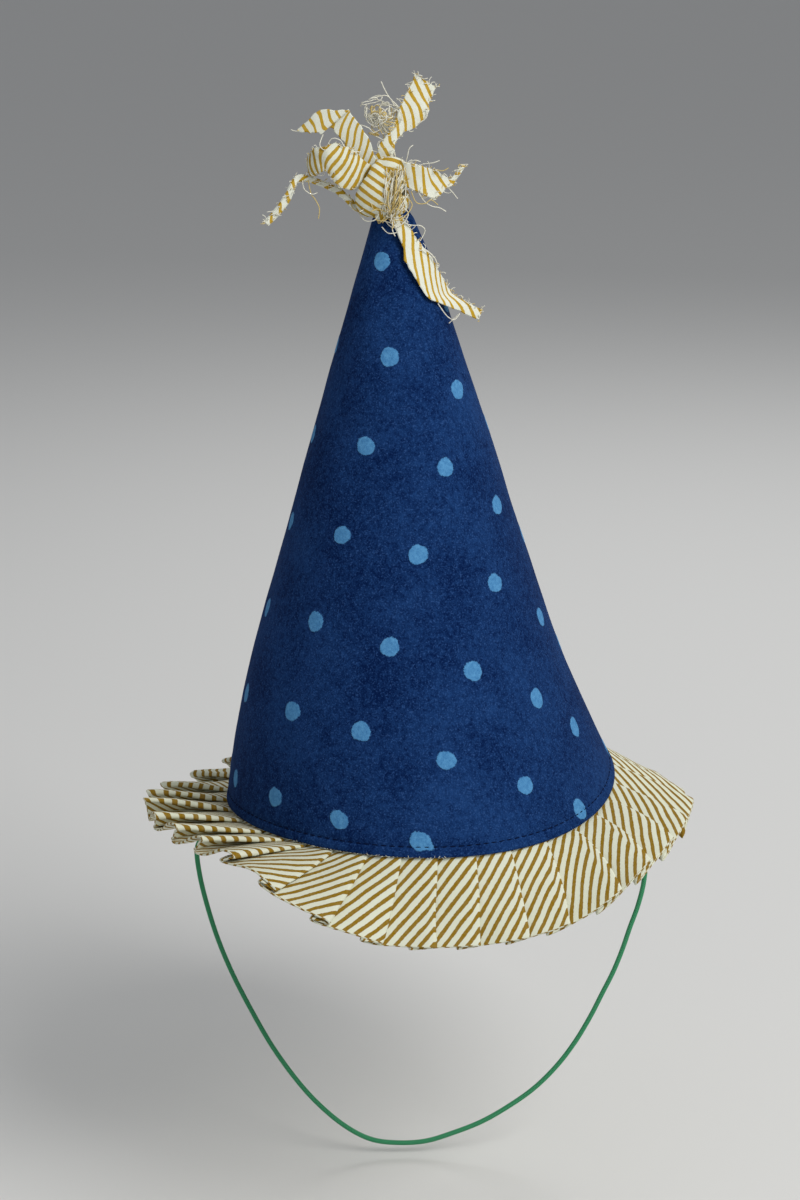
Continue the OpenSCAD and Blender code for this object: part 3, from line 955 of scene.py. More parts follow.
    def dot_places(self) -> list[tuple[float, float, int, int]]:
        """Lay the dots out on the unrolled cloth.

        Returns:
            For each dot its places across and down from the cone's point, in millimetres, and its
            column and row.
        """
        nudges = {
            (0, -1): (-1.1, -3.1), (0, 0): (1.9, -0.4), (1, 0): (1.0, 0.8), (-1, 1): (-3.3, 0.8), (0, 1): (0.5, 0),
            (1, 1): (0.5, -1.5), (2, 1): (-0.9, 1.4), (-1, 2): (-3.6, 0.9), (0, 2): (1.3, 0.5), (1, 2): (0.4, -1.4),
            (2, 2): (2.6, -0.8), (3, 2): (5.0, 1.3), (4, 2): (3.0, 0), (-1, 3): (-5.3, 0.7), (0, 3): (0.7, 0.2),
            (1, 3): (0.5, -0.1), (2, 3): (1.5, -0.7), (3, 3): (2.3, 0.4), (4, 3): (-1.7, 1.9), (5, 3): (8, 0),
            (-1, 4): (-6.4, 0.7), (0, 4): (0.4, 1.0), (1, 4): (-0.3, -1.1), (2, 4): (0, -0.5), (3, 4): (0.6, -0.1),
            (4, 4): (-2.2, 0.5), (-1, 5): (-5.5, 1.1), (0, 5): (-1.3, 1.0), (1, 5): (-1.5, -0.5), (2, 5): (-2.0, -2.7),
        }
        across, down, turn, clear = self.dot_across, self.dot_down, math.radians(self.dot_turn_deg), self.dot_room
        top = self.slant - (self.height - self.gather) / math.cos(self.tilt)
        places = []
        for i in range(-8, 9):
            for j in range(-4, 9):
                du, dv = nudges.get((i, j), (0.0, 0.0))
                u = i * across * math.cos(turn) - j * down * math.sin(turn)
                u = u - 2.6 * max(0, 1 - j) ** 2 - self.dot_side + du
                v = self.dot_start + dv + i * across * math.sin(turn) + j * down * math.cos(turn)
                far = math.hypot(u, v)
                room = math.pi * math.sin(self.tilt) - clear / max(far, 1)
                if v > 0 and top + clear < far < self.slant - clear and abs(math.atan2(u, v)) < room:
                    places.append((u, v, i, j))
        return places

    def build_dots(self, finishes: Finishes) -> None:
        """Print the dots as thin, slightly uneven patches that follow the cloth.

        Args:
            finishes: The hat's finishes.
        """
        rng = np.random.default_rng(11)
        rings, spokes = np.array([0.3, 0.6, 0.82, 0.95, 1.1]), 30
        phi = np.arange(spokes) * FULL_TURN / spokes
        draft = Draft()
        for u, v, i, j in self.dot_places():
            size = self.dot_radius * rng.uniform(0.94, 1.05)
            waves = rng.uniform(-1, 1, 4)
            wobble = 1 + 0.04 * np.sin(2 * phi + 6 * waves[0]) + 0.03 * np.sin(3 * phi + 6 * waves[1])
            wobble = wobble + 0.02 * np.sin(5 * phi + 6 * waves[2])
            if (i, j) == (2, 5):
                wobble = wobble + 0.42 * np.exp(-(((phi - 0.62) / 0.3) ** 2))
            if (i, j) == (1, 4):
                wobble = wobble + 0.16 * np.exp(-(((phi - 0.9) / 0.35) ** 2))
            reach = size * wobble[None, :] * rings[:, None]
            flat_u = np.concatenate([[u], (u + reach * np.cos(phi)).ravel()])
            flat_v = np.concatenate([[v], (v + reach * np.sin(phi)).ravel()])
            far = np.hypot(flat_u, flat_v)
            turn = np.arctan2(flat_u, flat_v) / math.sin(self.tilt) - math.pi / 2
            z = (self.slant - far) * math.cos(self.tilt)
            lift = np.concatenate([[0.09], np.repeat([0.09, 0.09, 0.09, 0.07, -0.02], spokes)])
            top = draft.add_points(self.skin(turn, z, -lift))
            low = draft.add_points(self.skin(turn, z, np.full_like(z, 0.2)))
            spread = np.stack([np.outer(rings, np.cos(phi)), np.outer(rings, np.sin(phi))], -1).reshape(-1, 2)
            place = [(0.0, 0.0), *map(tuple, spread)]
            for base in (top, low):
                for k in range(spokes):
                    e = (k + 1) % spokes
                    starts = [1 + r * spokes for r in range(len(rings))]
                    bands = [(a + k, b + k, b + e, a + e) for a, b in zip(starts, starts[1:])]
                    for ids in ((0, 1 + k, 1 + e), *bands):
                        draft.add_face(tuple(base + n for n in ids), [place[n] for n in ids])
            rim = 1 + (len(rings) - 1) * spokes
            for k in range(spokes):
                e = (k + 1) % spokes
                draft.add_face((top + rim + k, low + rim + k, low + rim + e, top + rim + e), [(1.1, 0)] * 4)
        seat(draft.build("dots_printed", finishes.dots), "dot_print", "printed_dots")

    def build_stitches(self, finishes: Finishes) -> None:
        """Sew the hem's topstitching and let a few pale fibres show at its cut edge.

        Args:
            finishes: The hat's finishes.
        """
        turn = np.linspace(0, FULL_TURN, 241)[:-1]
        line = self.skin(turn, np.full_like(turn, self.stitch_rise), np.full_like(turn, -0.05))
        sewing = stitch_recipe(finishes.stitch, 2.6 * MM, 1.9 * MM, 0.19 * MM)
        seat(sewing.run("hem_stitches", [line], closed=True), "navy_thread")
        turn = np.radians(np.linspace(-128, -84, 40))
        edge = self.skin(turn, np.full_like(turn, 0.1), np.full_like(turn, 0.1))
        fibres = fray_recipe(finishes.fray, 1.1 * MM, 0.9 * MM, 0.09 * MM, 5)
        seat(fibres.run("hem_fibres", [edge]), "stiff_interlining")


@dataclass(frozen=True)
class Fold:
    """One pleat's fold: where it leaves the hem, how far it leans, how steeply it hangs."""

    hem_deg: float
    lean_deg: float
    droop_deg: float


@dataclass
class PleatedRuffle:
    """A doubled strip of striped cotton in knife pleats, sewn up inside the hem."""

    width: float = 26.0
    header: float = 7.0
    cloth: float = 0.42
    loft_root: float = 1.3
    gain_deg: float = 10.0
    depth_root: float = 6.4
    pleat_cloth: float = 29.6
    columns: int = 23
    bend_run: float = 2.6
    flat_depth: float = 36.0
    rim_lofts: tuple[float, ...] = (7.8, 2.2, 6.0, 3.4)
    rim_depths: tuple[float, ...] = (5.0, 6.0, 7.6, 6.0)
    teeth: tuple[float, ...] = (0.5, 0.7, 1.1, 0.7)
    cone: ClothCone = field(default_factory=ClothCone)
    front: tuple[Fold, ...] = (
        Fold(-187, -7, 14), Fold(-176, -5, 7), Fold(-165, -4, 2), Fold(-153, -4, -2), Fold(-140, -5, -4),
        Fold(-130.5, -5, -5), Fold(-123, -4, -1), Fold(-114.25, -3.4, 18), Fold(-104.5, -3.3, 36),
        Fold(-95.5, -2.6, 55), Fold(-86.25, -1.6, 60), Fold(-76, -2, 60), Fold(-66, -1.5, 55), Fold(-54.5, -4.3, 41),
        Fold(-43, -5, 20), Fold(-31.5, -8.5, 14), Fold(-20, -10, 16), Fold(-9, -10, 24),
    )
    back_droops: tuple[float, ...] = (30, 38, 42, 44, 44, 42, 38, 35, 33, 32, 31, 29, 26, 21)

    def folds(self) -> list[Fold]:
        """List the folds in order round the hem.

        Returns:
            The measured front folds and the plain back ones between their ends.
        """
        rng = np.random.default_rng(4)
        start, stop = self.front[-1].hem_deg, self.front[0].hem_deg + 360
        count = len(self.back_droops)
        back = [
            Fold(
                start + (stop - start) * (k + 1) / (count + 1) + rng.uniform(-0.7, 0.7),
                -9 + rng.uniform(-1, 1),
                droop + rng.uniform(-2, 2),
            )
            for k, droop in enumerate(self.back_droops)
        ]
        return [*self.front, *back]

    def side_value(self, turn: np.ndarray, left: float, front: float, right: float, back: float) -> np.ndarray:
        """Pass smoothly through four values, at the left, front, right and back."""
        across = np.where(np.cos(turn) < 0, left, right)
        along = np.where(np.sin(turn) < 0, front, back)
        return across * np.cos(turn) ** 2 + along * np.sin(turn) ** 2

    def line(self, droop: np.ndarray, step: np.ndarray) -> tuple[np.ndarray, np.ndarray, np.ndarray, np.ndarray]:
        """Follow the ruffle's middle line in a half-plane through the cone's axis.

        Args:
            droop: Average slope below level, in degrees.
            step: From -2 at the header's top through -1 at the bend to 0 at the seam and 1 at the rim.

        Returns:
            Radius, height, and the radial and upright parts of the line's upper side.
        """
        bend = self.cone.cloth / 2 + self.cone.sewn_gap + self.loft_root + self.cloth / 2
        hem = self.cone.hem_radius - self.cone.cloth / 2 / math.cos(self.cone.tilt)
        header_slope = math.pi / 2 - self.cone.tilt
        low, high = np.radians(droop - self.gain_deg / 2), np.radians(droop + self.gain_deg / 2)
        out = np.clip(step, 0, 1)
        slope = np.where(step <= 0, blend(header_slope, low, np.clip(step + 1, 0, 1)), blend(low, high, out))
        rad = hem - bend * np.sin(np.where(step > 0, low, slope))
        z = -bend * np.cos(np.where(step > 0, low, slope))
        up_header = self.header * np.clip(-1 - step, 0, 1)
        rad = rad - up_header * math.cos(header_slope)
        z = z + up_header * math.sin(header_slope)
        bent = np.radians(self.gain_deg)
        rad = rad + self.width * (np.sin(low + bent * out) - np.sin(low)) / bent
        z = z + self.width * (np.cos(low + bent * out) - np.cos(low)) / bent
        return rad, z, np.sin(slope), np.cos(slope)

    def section(self, step: float, folds: list[Fold], sizes: np.ndarray) -> tuple[np.ndarray, ...]:
        """Lay out one row of the pleated cloth.

        Args:
            step: The row's place, as in line.
            folds: The folds round the hem.
            sizes: Random factors, one row for each fold: loft and depth.

        Returns:
            Angles round the axis, heights above the line and shares of the crease's own drop.
        """
        out = min(max(step, 0.0), 1.0)
        hems = np.radians([f.hem_deg for f in folds])
        at = hems + np.radians([f.lean_deg for f in folds]) * out
        droops = np.array([f.droop_deg for f in folds])
        rad = self.line(droops, np.full(len(folds), step))[0]
        loft = blend(self.loft_root, self.side_value(at, *self.rim_lofts) * sizes[:, 0], out)
        depth = blend(self.depth_root, self.side_value(at, *self.rim_depths) * sizes[:, 1], out)
        roll = np.minimum(loft / 4.2, 0.75)
        arc = np.radians(np.linspace(90, -90, 5))
        turns, heights, shares = [], [], []
        count = len(folds)
        for i in range(count):
            j = (i + 1) % count
            next_at = at[j] + (FULL_TURN if j == 0 else 0)
            r, l, d, q = rad[i], loft[i], depth[i], roll[i]
            turns.extend(at[i] + (-q + q * np.cos(arc)) / r)
            heights.extend(l - q + q * np.sin(arc))
            shares.extend([0.0] * 5)
            g = np.linspace(0, 1, 6)[1:-1]
            turns.extend(at[i] + (-q + (-d + 2 * q) * g) / r)
            heights.extend(blend(l - 2 * q, 2 * q, g * g * (3 - 2 * g)))
            shares.extend(g)
            turns.extend(at[i] + (-d + q - q * np.cos(arc)) / r)
            heights.extend(q + q * np.sin(arc))
            shares.extend([1.0] * 5)
            g = np.linspace(0, 1, 11)[1:-1]
            first, last = at[i] + (-d + q) / r, next_at - roll[j] / rad[j]
            turns.extend(first + (last - first) * g)
            heights.extend(blend(0, loft[j], g * g * (3 - 2 * g)))
            shares.extend(np.maximum(1 - g * 2.4, 0))
        return np.array(turns), np.array(heights), np.array(shares)

    def normals(self, middle: np.ndarray) -> np.ndarray:
        """Unit normals of a surface whose columns run round the hem."""
        ahead = np.roll(middle, -1, axis=1) - np.roll(middle, 1, axis=1)
        return unit(np.cross(ahead, np.gradient(middle, axis=0)))

    def lay_cloth(self, middle: np.ndarray, run: np.ndarray, seam: int) -> np.ndarray:
        """Lay the striped cloth out from each lip, so that its stripes keep their slant to the folds.

        Args:
            middle: The cloth's middle surface, rows by columns by 3.
            run: Cloth length from the header's top to each row.
            seam: The row at the seam.

        Returns:
            Cloth places, rows by columns by 2, in millimetres.
        """
        cloth = np.zeros((*middle.shape[:2], 2))
        panel, crease = 14, 9
        for i in range(middle.shape[1] // self.columns):
            first = i * self.columns
            after = (first + self.columns) % middle.shape[1]
            for lip, low, high, sign in ((first, 0, panel, 1), (after, panel, self.columns, -1)):
                root = middle[seam, lip]
                way = unit(middle[-1, lip] - root)
                away = middle[seam:, first + low : first + high] - root
                along = away @ way
                off = np.linalg.norm(away - along[..., None] * way, axis=-1)
                start = (i + (sign < 0)) * self.pleat_cloth
                cloth[seam:, first + low : first + high] = np.stack([start + sign * off, run[seam] + along], axis=-1)
            spare = cloth[seam:, first + panel] - cloth[seam:, first + panel - 1]
            shares = np.arange(1, panel - crease + 1) / (panel - crease + 1)
            cloth[seam:, first + crease : first + panel] += spare[:, None] * shares[:, None]
        for k in range(seam):
            cloth[k] = cloth[seam] - [0, run[seam] - run[k]]
        return cloth

    def build(self, finishes: Finishes) -> None:
        """Make the ruffle as one closed body of doubled cloth.

        Args:
            finishes: The hat's finishes.
        """
        folds = self.folds()
        rng = np.random.default_rng(21)
        sizes = np.stack([rng.uniform(0.84, 1.16, len(folds)), rng.uniform(0.85, 1.15, len(folds))], axis=1)
        hems = np.array([f.hem_deg for f in folds])
        droops = np.array([f.droop_deg for f in folds])
        steps = [-2, -1.5, -1, -0.8, -0.6, -0.4, -0.2, 0, *np.linspace(0, 1, 27)[1:]]
        rows, runs = [], [0.0]
        for k, step in enumerate(steps):
            turns, heights, shares = self.section(step, folds, sizes)
            deg = (np.degrees(turns) - hems[0]) % 360 + hems[0]
            at = np.interp(deg, np.append(hems, hems[0] + 360), np.arange(len(folds) + 1))
            low = np.floor(at).astype(int)
            t = at - low
            droop = through(*(droops[(low + n) % len(droops)] for n in (-1, 0, 1, 2)), t)
            rad, z, up_r, up_z = self.line(droop, np.full_like(turns, step))
            out = min(max(step, 0.0), 1.0)
            tooth = shares * out * self.side_value(turns, *self.teeth)
            rad = rad + heights * up_r + tooth * up_z
            z = z + heights * up_z - tooth * up_r
            rows.append(np.stack([rad * np.cos(turns), rad * np.sin(turns), z], axis=-1))
            if k:
                reach = self.header if step <= -1 else self.bend_run if step <= 0 else self.width
                runs.append(runs[-1] + (steps[k] - steps[k - 1]) * reach)
        middle, run = np.array(rows), runs[-1]
        cloth = self.lay_cloth(middle, np.array(runs), steps.index(0))
        out = np.clip(np.array(steps), 0, 1)[:, None]
        wave = out * 0.35 * ripple(middle, 26, 31) + out**3 * 0.22 * ripple(middle, 9, 32)
        middle = middle + self.normals(middle) * wave[..., None]
        normal = self.normals(middle)
        thick = self.cloth + 0.3 * ease(0.78, 0.97, out)
        half = (thick / 2)[..., None]
        outward = unit(middle[-1] - middle[-2])
        layers = [middle[k] + normal[k] * half[k] for k in range(len(steps))]
        places = [cloth[k] for k in range(len(steps))]
        for n, a in enumerate(np.radians([60, 30, 0, -30, -60])):
            layers.append(middle[-1] + outward * half[-1] * math.cos(a) + normal[-1] * half[-1] * math.sin(a))
            places.append(cloth[-1] + [0, 0.2 * (n + 1)])
        for k in range(len(steps) - 1, -1, -1):
            layers.append(middle[k] - normal[k] * half[k])
            places.append([0, 2 * run + 1.2] + cloth[k] * [1, -1])
        loop, laid = np.array(layers), np.array(places)
        total = self.pleat_cloth * len(folds)
        laid = np.concatenate([laid, laid[:, :1] + [total, 0]], axis=1) * MM
        draft = Draft()
        first = draft.add_grid(loop, True, laid)
        rows_all, cols = loop.shape[:2]
        for c in range(cols):
            e = (c + 1) % cols
            end = first + (rows_all - 1) * cols
            draft.add_face((first + c, first + e, end + e, end + c))
        # The ruffle's finish carries painted shade: its stripes are darker than the same cloth on the torn strips.
        ruffle = seat(draft.build("ruffle_pleated", finishes.ruffle), "striped_cotton", "pleated_ruffle")


@dataclass(frozen=True)
class StripPlan:
    """One torn band of cloth, given by its two edges at each station.

    The stations are x, y, z of one edge and of the other, in millimetres from the middle of the
    cone's drawn-in tip. The stripes' slant against the band's run and their spacing against the
    cloth's own are given at even steps along it. The first or the second edge can be left unfrayed.
    """

    node: str
    stations: tuple[tuple[float, ...], ...]
    slants: tuple[float, ...]
    spacing: tuple[float, ...] = (1.0,)
    frayed: tuple[bool, bool] = (True, True)
    share: float = 0.34
    narrow: float = 1.0
    thickness: float = 0.5
    cup: float = 0.12
    crumple: float = 0.35
    seed: int = 1


STRIPS = (
    StripPlan(
        "strip_upright",
        (
            (-6.8, -3.6, 9.5, -2, -3.6, 9.5), (-6.6, -3, 14, -1.2, -3, 13.9), (-5.3, -3, 17.1, -0.6, -3, 16.7),
            (-4.2, -2.6, 19.6, 0.2, -2, 19.9), (-1.3, -2, 22.8, 1.8, -1, 21.6), (0.6, -1, 26.5, 6, 0.5, 23.7),
            (2.5, 0, 30.7, 9.9, 1.5, 26.9), (4.3, 1, 34.7, 11, 2.5, 30.8), (6.8, 2.2, 39, 12.7, 3.6, 35),
        ),
        (-50, -50, -52, -52), cup=0.04, crumple=0.25, seed=2,
    ),
    StripPlan(
        "strip_folded",
        (
            (-8.5, -4, 8.5, -3.5, -4, 9.5), (-11.5, -4, 12.1, -5.8, -4, 13.6),
            (-13.5, -4.2, 16.3, -6.8, -4.2, 17.2), (-15.5, -4.4, 19.9, -8.3, -4.2, 20.8),
            (-17.8, -4.6, 22.5, -10.8, -4.4, 24.7), (-19.8, -4.8, 25, -14.1, -4.6, 29.1),
            (-20.2, -6.2, 25.2, -14.3, -5.8, 29.6), (-22.1, -6.6, 23.6, -18.8, -6.4, 29.7),
            (-24.9, -6.6, 23.6, -23.6, -6.6, 29.6), (-27.6, -6.2, 23.9, -26.8, -6.2, 27.1),
            (-30.1, -5.6, 24.3, -30, -5.6, 24.7),
        ),
        (43, 43, 45, 70, 75, 76), (0.8, 0.8, 0.85, 1.05, 1.1), (False, False), cup=0.0, crumple=0.12, seed=3,
    ),
    StripPlan(
        "strip_looped",
        (
            (-6, -5.2, 12, -6, -5.6, 6), (-9.4, -6, 14.4, -9.5, -6.4, 7.8), (-12.9, -8, 18, -12.9, -8.6, 6.5),
            (-15.9, -9.4, 19.6, -16.9, -10, 7.6), (-19.5, -10, 20, -19.8, -10.6, 10.8),
            (-22.6, -9.4, 19.4, -21.7, -10.4, 12.6), (-25.2, -8, 18.5, -24.3, -9, 11.5),
            (-26.9, -5.6, 16.7, -26.2, -6.6, 10.6), (-27.3, -3.2, 15.4, -27, -4, 11.1),
            (-25.9, -1.6, 15.6, -25.8, -2, 12.1),
        ),
        (78, 76, 78, 84, 88), share=0.5, cup=-0.09, crumple=0.6, seed=4,
    ),
    StripPlan(
        "strip_twisted",
        (
            (-7.6, -4.4, 3.4, -8, -4.6, 1), (-11.5, -4.6, 1.9, -12.3, -4.8, -0.6),
            (-13.8, -5, 3.4, -14.9, -5, 1.6), (-16.8, -5, 6.3, -17.9, -5, 4.5),
            (-20.4, -5, 7.9, -21.2, -5, 6.4), (-24.2, -5.2, 9.6, -24.8, -5.2, 8),
            (-27.8, -5.6, 11, -28.1, -5.6, 9.1), (-30.4, -6.2, 11.2, -30.2, -6.2, 9.1),
            (-32.2, -7, 9.8, -30.8, -7, 8.3), (-34, -8, 6.4, -32.2, -8, 5.1), (-36.5, -9, 3.2, -34.5, -9, 1.6),
            (-39.1, -10, 0.3, -37.4, -10, -1.2), (-40.8, -10.8, -1.6, -39.7, -10.8, -2.9),
        ),
        (38, 42), narrow=0.62, thickness=0.9, cup=0.0, crumple=0.2, seed=5,
    ),
    StripPlan(
        "strip_right",
        (
            (-3.5, -5.4, 12, -3.5, -5.4, 7), (0.4, -6, 14.2, -0.2, -6, 7.1), (3, -7, 14, 3.4, -7, 6.9),
            (6.6, -6.8, 13.1, 7, -7.6, 5.4), (9.6, -6.4, 12.1, 10.8, -7.6, 3.2),
            (12.7, -5.6, 10.9, 13.7, -6.4, 4.4), (15.1, -4.8, 9.3, 15.8, -5.2, 5.9),
            (17.1, -4.2, 8.1, 17.6, -4.4, 6.7), (19.1, -3, 10.2, 19.7, -3.2, 9.1),
            (21.1, -2, 12, 21.7, -2, 11.6),
        ),
        (66, 64, 58, 56, 60), cup=-0.05, crumple=0.25, seed=6,
    ),
    StripPlan(
        "strip_hanging",
        (
            (-3.4, -6.4, 4, -0.4, -6.4, 4.4), (-2.2, -7.5, -0.4, 0.4, -7.6, 0),
            (-1.3, -8.4, -2.9, 1.6, -8.1, -2), (0.3, -9.6, -6.1, 3.5, -8.3, -4.3),
            (1.7, -10.7, -10.1, 5.7, -8.5, -8.2), (2.6, -11.9, -14.4, 8.5, -7.5, -11.8),
            (4.8, -12.6, -18.5, 11.4, -5.9, -16.2), (7.3, -13, -22.9, 14, -3.6, -21.3),
            (10.1, -12.4, -26.4, 16.8, -1.5, -26.5), (14.3, -9.2, -28.8, 20.2, -2.6, -28.7),
            (19.6, -6, -31.4, 23.6, -3, -30.4), (25.5, -4, -34.8, 26.8, -3, -32.3),
        ),
        (-12, -20, -30, -34, -36, -36), (1.0,), (False, True), cup=-0.04, crumple=0.25, seed=7,
    ),
)

KNOT_BANDS = (
    StripPlan(
        "knot_front",
        (
            (-3, -1.5, 15.6, 3.6, -1.5, 11.2), (-5.4, -6.6, 14.1, 2.2, -6.4, 8.9), (-8.2, -8.8, 10.6, -0.6, -8.8, 5.2),
            (-10.8, -9.2, 7, -3.2, -9.2, 1.6), (-12, -8.2, 3.4, -6, -8.4, -1), (-11.8, -6, 0.2, -8.6, -6.2, -2),
            (-10.6, -3, -1, -8.4, -3, -2),
        ),
        (90, 90, 88), share=0.4, thickness=0.8, cup=-0.1, crumple=0.3, seed=21,
    ),
    StripPlan(
        "knot_collar",
        (
            (-9.4, -2, 2.6, -9, -2, -1.8), (-7.6, -6.8, 2.4, -7, -6.8, -2), (-3.6, -8.4, 2.2, -3.4, -8.2, -2.4),
            (0.6, -7.6, 3, 0.8, -7.2, -1.6), (3.2, -4.4, 4, 2.6, -4, -0.6), (3.6, 0, 4.6, 3, 0, 0),
            (1.6, 3.6, 4.2, 1, 3.4, -0.6), (-4, 4.6, 3.6, -4, 4.2, -1), (-8.4, 2.4, 3, -8, 2, -1.2),
        ),
        (80, 84, 80), thickness=0.8, cup=0.12, crumple=0.3, seed=22,
    ),
    StripPlan(
        "knot_crown",
        (
            (-8.4, -3.6, 8, -2.4, -3.6, 6), (-7.2, -6.2, 12, -0.6, -6.6, 9.8), (-4.4, -5.8, 14.6, 2, -6.2, 12.4),
            (-1.2, -3, 14.8, 3.6, -3.4, 12.2), (0.4, 0, 12.6, 3.4, -0.4, 9), (0.4, 1, 8, 2.6, 0.6, 5),
        ),
        (60, 50, 40), thickness=0.8, cup=0.15, crumple=0.4, seed=23,
    ),
)

LOOSE_THREADS = (
    ((-6.6, 0, 32.5), (-2.7, -0.5, 33.3), (-0.7, -0.5, 31.8), (1.1, -0.4, 30)),
    ((-22, -8, 23), (-23, -9.5, 20.1), (-21.5, -10.8, 18.6), (-19.4, -10.6, 19.1)),
    ((-21, -9.5, 19), (-19.2, -10.6, 21.8), (-16.6, -10.6, 21.4), (-15.4, -10, 19.4)),
    ((-27.2, -5.8, 9.4), (-26.3, -7, 5.5), (-24.9, -8, 3.7), (-23.7, -8, 1), (-24.1, -8, -2)),
    ((-29, -5.8, 10), (-28.4, -7, 7), (-26, -8, 5.4), (-24.2, -8, 5.8)),
    ((-12, -6, 13), (-14, -9.6, 15), (-13, -10, 17.6), (-10.4, -8, 17.4)),
    ((6.5, -7, 5.6), (8.5, -8.4, 2.6), (10.9, -8.4, 1), (13.3, -8, 0.4), (15.4, -8, -0.8)),
    ((4.6, -7, 5.4), (6, -9.4, 2.4), (8.8, -9.6, 2), (10.6, -9, 3), (12.8, -8.6, 1.4)),
    ((0.4, -8.4, -3), (4.2, -9.6, -4.3), (7.2, -9.4, -4.6), (8.7, -8, -6.4), (7.1, -8, -9.4)),
    ((-3.6, -9, -2.3), (-1.3, -10, -4.8), (1.8, -10, -3.9), (3.6, -9.4, -0.9), (1.8, -9, 1.2)),
    ((-4.4, -9, -3), (-1.4, -10.4, -3.6), (0.6, -10.4, -6), (-2.2, -10.4, -6.6), (-4.2, -9.6, -4.8)),
    ((-2, -9, 1), (-0.4, -10.6, -2.6), (2.6, -10.4, -1.6), (4.8, -9, 1.6), (3, -8.6, 4)),
    ((12.3, -11.4, -28), (15, -11, -31.8), (17.5, -9.6, -33.4), (19.3, -8, -31.9), (15.9, -8.6, -34.6)),
    ((5.4, -9.5, -12), (9.2, -8.8, -12.4), (12, -7.4, -15.4), (12.6, -6.4, -18.6)),
    ((-11.5, -6, -1), (-9.4, -8.4, -3), (-6.4, -9.4, -2.8), (-5, -9, -1)),
    ((-13.6, -5, 3.2), (-13.4, -6, 0.6), (-11.4, -6.8, -0.6)),
    ((2.6, -5, 12), (3.6, -6, 15.6), (4.2, -6.4, 18), (5.4, -6, 19)),
    ((3, -6, 13), (5.6, -7, 14.6), (7.6, -7.4, 14.2)),
    ((8.4, -6.6, 13.4), (11.6, -7.4, 13.8), (13.6, -7.4, 14.4)),
    ((11.6, -6, 11.8), (14.4, -6.6, 11.2), (16.4, -6.8, 12)),
    ((15.2, -4.8, 7), (17.6, -5.6, 4.6), (19.2, -5.8, 2.6)),
    ((5.8, 0.4, 24), (9.8, 0.4, 26.2), (10.4, 0.4, 29.4)),
    ((1.6, 0.4, 28), (-2.4, 0.2, 34), (-4, 0, 37.4)),
)


